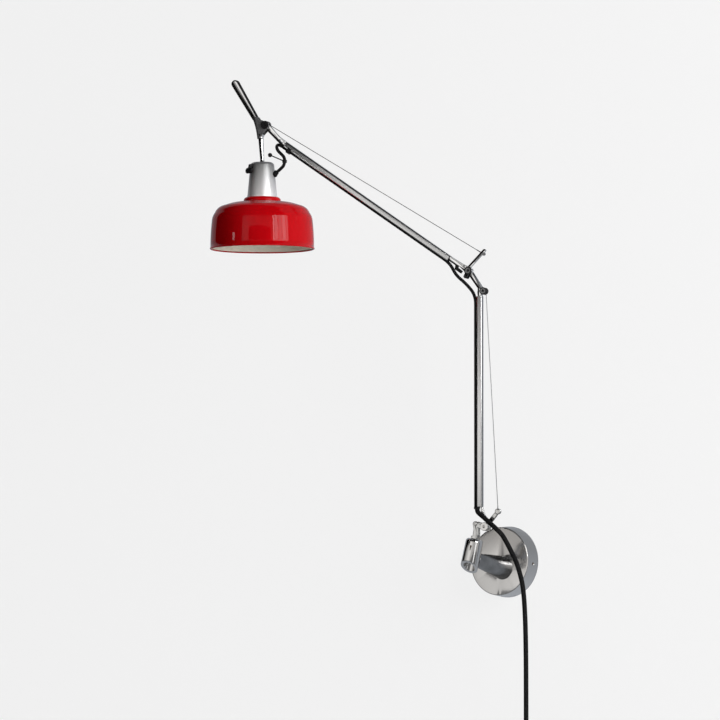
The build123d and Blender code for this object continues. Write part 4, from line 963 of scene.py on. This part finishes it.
pale_wall = backdrop_material("pale_wall", (0.945, 0.945, 0.945), (0.36, 0.38, 0.41), 0.88)
pale_floor = backdrop_material("pale_floor", (0.90, 0.90, 0.90), (0.16, 0.16, 0.16), 0.6)
describe(pale_wall, pale_floor)


# %% Stand the wall and lay the floor
def plane(name, corners, material):
    mesh = bpy.data.meshes.new(name)
    mesh.from_pydata(corners, [], [(0, 1, 2, 3)])
    mesh.materials.append(material)
    piece = stand(name, mesh)
    return piece


WALL_Y = 0.0006
FLOOR_Z = -1.25
plane("wall", [(-4, WALL_Y, FLOOR_Z), (4, WALL_Y, FLOOR_Z), (4, WALL_Y, 3), (-4, WALL_Y, 3)], pale_wall)
plane("floor", [(-4, -4, FLOOR_Z), (4, -4, FLOOR_Z), (4, WALL_Y, FLOOR_Z), (-4, WALL_Y, FLOOR_Z)], pale_floor)
print("wall at y =", WALL_Y, "and floor at z =", FLOOR_Z)


# %% [markdown]
# ## What the metal reflects
# Polished metal is only as good as the room that it mirrors. A product photographer puts black cards and lit
# panels round the lamp, and so does this scene: a black card on the left, a row of bright panes in front of
# the shade, a slim strip, and a dimmer window for the barrel. Only mirrored rays see them. The look of the
# metal and of the coat belongs to this room, and would change in another.

# %% Cards and lit panels
def panel(name, centre_angle, width, low, high, distance, brightness):
    """A flat card that stands upright round the lamp, seen only by mirrored rays."""
    material, _ = new_material(name, (0, 0, 0), 1.0)
    surface(material, glow(material, (1, 1, 1), brightness))
    ends = [math.radians(centre_angle + side * width / 2) for side in (-1, 1)]
    (ax, ay), (bx, by) = [(distance * math.cos(a) - 0.15, distance * math.sin(a) - 0.15) for a in ends]
    card = plane(name, [(ax, ay, low), (bx, by, low), (bx, by, high), (ax, ay, high)], material)
    for kind in ("camera", "diffuse", "shadow", "transmission", "volume_scatter"):
        setattr(card, "visible_" + kind, False)


SHADE_WINDOWS = ((-33.0, 3.0, 9.0), (-26.5, 8.0, 6.0), (-17.0, 9.0, 4.5), (-7.0, 9.0, 6.5), (3.0, 9.0, 4.5),
                 (13.5, 9.0, 5.5), (21.0, 2.5, 9.0))
panel("black_card", -142.0, 74.0, 0.36, 2.4, 2.6, 0.0)
panel("shade_dark_card", -65.0, 50.0, 0.63, 1.0, 2.3, 0.02)
panel("slim_strip", -125.5, 5.0, 0.56, 0.76, 1.8, 6.0)
for number, (angle, width, strength) in enumerate(SHADE_WINDOWS):
    panel(f"shade_window_{number}", angle, width, 0.42, 1.75, 2.4, strength)
panel("barrel_window", -28.0, 9.0, -1.2, 0.36, 2.4, 1.5)
print(len(SHADE_WINDOWS) + 4, "cards and panels")

# %% [markdown]
# ## The world
# The world is three things at once, and Light Path tells the rays apart. The camera sees a pale ground.
# Mirrored rays see a room that runs from dark to light round the lamp and darkens upwards. All other rays
# get an even, weak grey, which fills the shadows.

# %% World
ROOM_TONES = ((0.0, 0.01), (0.06, 0.015), (0.115, 0.22), (0.20, 0.56), (0.27, 0.62), (0.38, 0.86), (0.48, 0.93),
              (0.62, 0.62), (0.80, 0.46), (0.92, 0.60), (1.0, 0.45))
world = bpy.data.worlds.new("studio")
bpy.context.scene.world = world
world.use_nodes = True
even = world.node_tree.nodes["Background"]
pale = add(world, "ShaderNodeBackground")
room = add(world, "ShaderNodeBackground")
for ground, tone, strength in ((even, 0.80, 0.10), (pale, 0.92, 1.0), (room, 1.0, 1.0)):
    ground.inputs["Color"].default_value = (tone, tone, tone, 1)
    ground.inputs["Strength"].default_value = strength
direction = add(world, "ShaderNodeTexCoord")
parts = add(world, "ShaderNodeSeparateXYZ")
join(world, direction.outputs["Generated"], parts.inputs["Vector"])
sideways = add(world, "ShaderNodeMapRange")
sideways.inputs["From Min"].default_value = -1
join(world, parts.outputs["X"], sideways.inputs["Value"])
around = add(world, "ShaderNodeValToRGB")
for place, tone in ROOM_TONES[1:-1]:
    around.color_ramp.elements.new(place)
for element, (place, tone) in zip(around.color_ramp.elements, ROOM_TONES):
    element.position = place
    element.color = (tone, tone * 0.985, tone * 0.965, 1)
join(world, sideways.outputs["Result"], around.inputs["Fac"])
upward = add(world, "ShaderNodeMapRange")
for socket, value in (("From Min", 0.22), ("From Max", 0.5), ("To Min", 1.0), ("To Max", 0.03)):
    upward.inputs[socket].default_value = value
join(world, parts.outputs["Z"], upward.inputs["Value"])
join(world, around.outputs["Color"], room.inputs["Color"])
join(world, upward.outputs["Result"], room.inputs["Strength"])
rays = add(world, "ShaderNodeLightPath")
unseen = mix(world, rays.outputs["Is Glossy Ray"], even.outputs["Background"], room.outputs["Background"])
whole = mix(world, rays.outputs["Is Camera Ray"], unseen, pale.outputs["Background"])
join(world, whole, world.node_tree.nodes["World Output"].inputs["Surface"])
print("world: plain grey light, with a room for mirrored rays only;", len(ROOM_TONES), "tones round it")

# %% [markdown]
# ## Lamps
# The rose throws a soft shadow to its lower right, so one large light stands to the upper left. The light
# from the right is much the stronger of the two and makes the shade brighter on that side, as in the picture.
# A more even pair would show the lacquer's own colour better. Neither shows in mirrors, where the panels
# stand for them.

# %% Lamps
def area_light(name, place, target, size, power):
    data = bpy.data.lights.new(name, "AREA")
    data.shape = "RECTANGLE"
    data.size, data.size_y = size
    data.energy = power
    lamp = bpy.data.objects.new(name, data)
    lamp.location = place
    lamp.rotation_euler = (Vector(target) - Vector(place)).to_track_quat("-Z", "Y").to_euler()
    lamp.visible_camera = False
    lamp.visible_glossy = False
    bpy.context.scene.collection.objects.link(lamp)
    print(name, power, "W")


area_light("main_light", (-0.9, -1.5, 2.7), (-0.1, -0.1, 0.2), (1.6, 1.6), 11)
area_light("fill_light", (2.5, -0.9, 0.9), (-0.3, -0.2, 0.5), (1.2, 2.0), 88)
bpy.context.scene.view_settings.view_transform = "Standard"
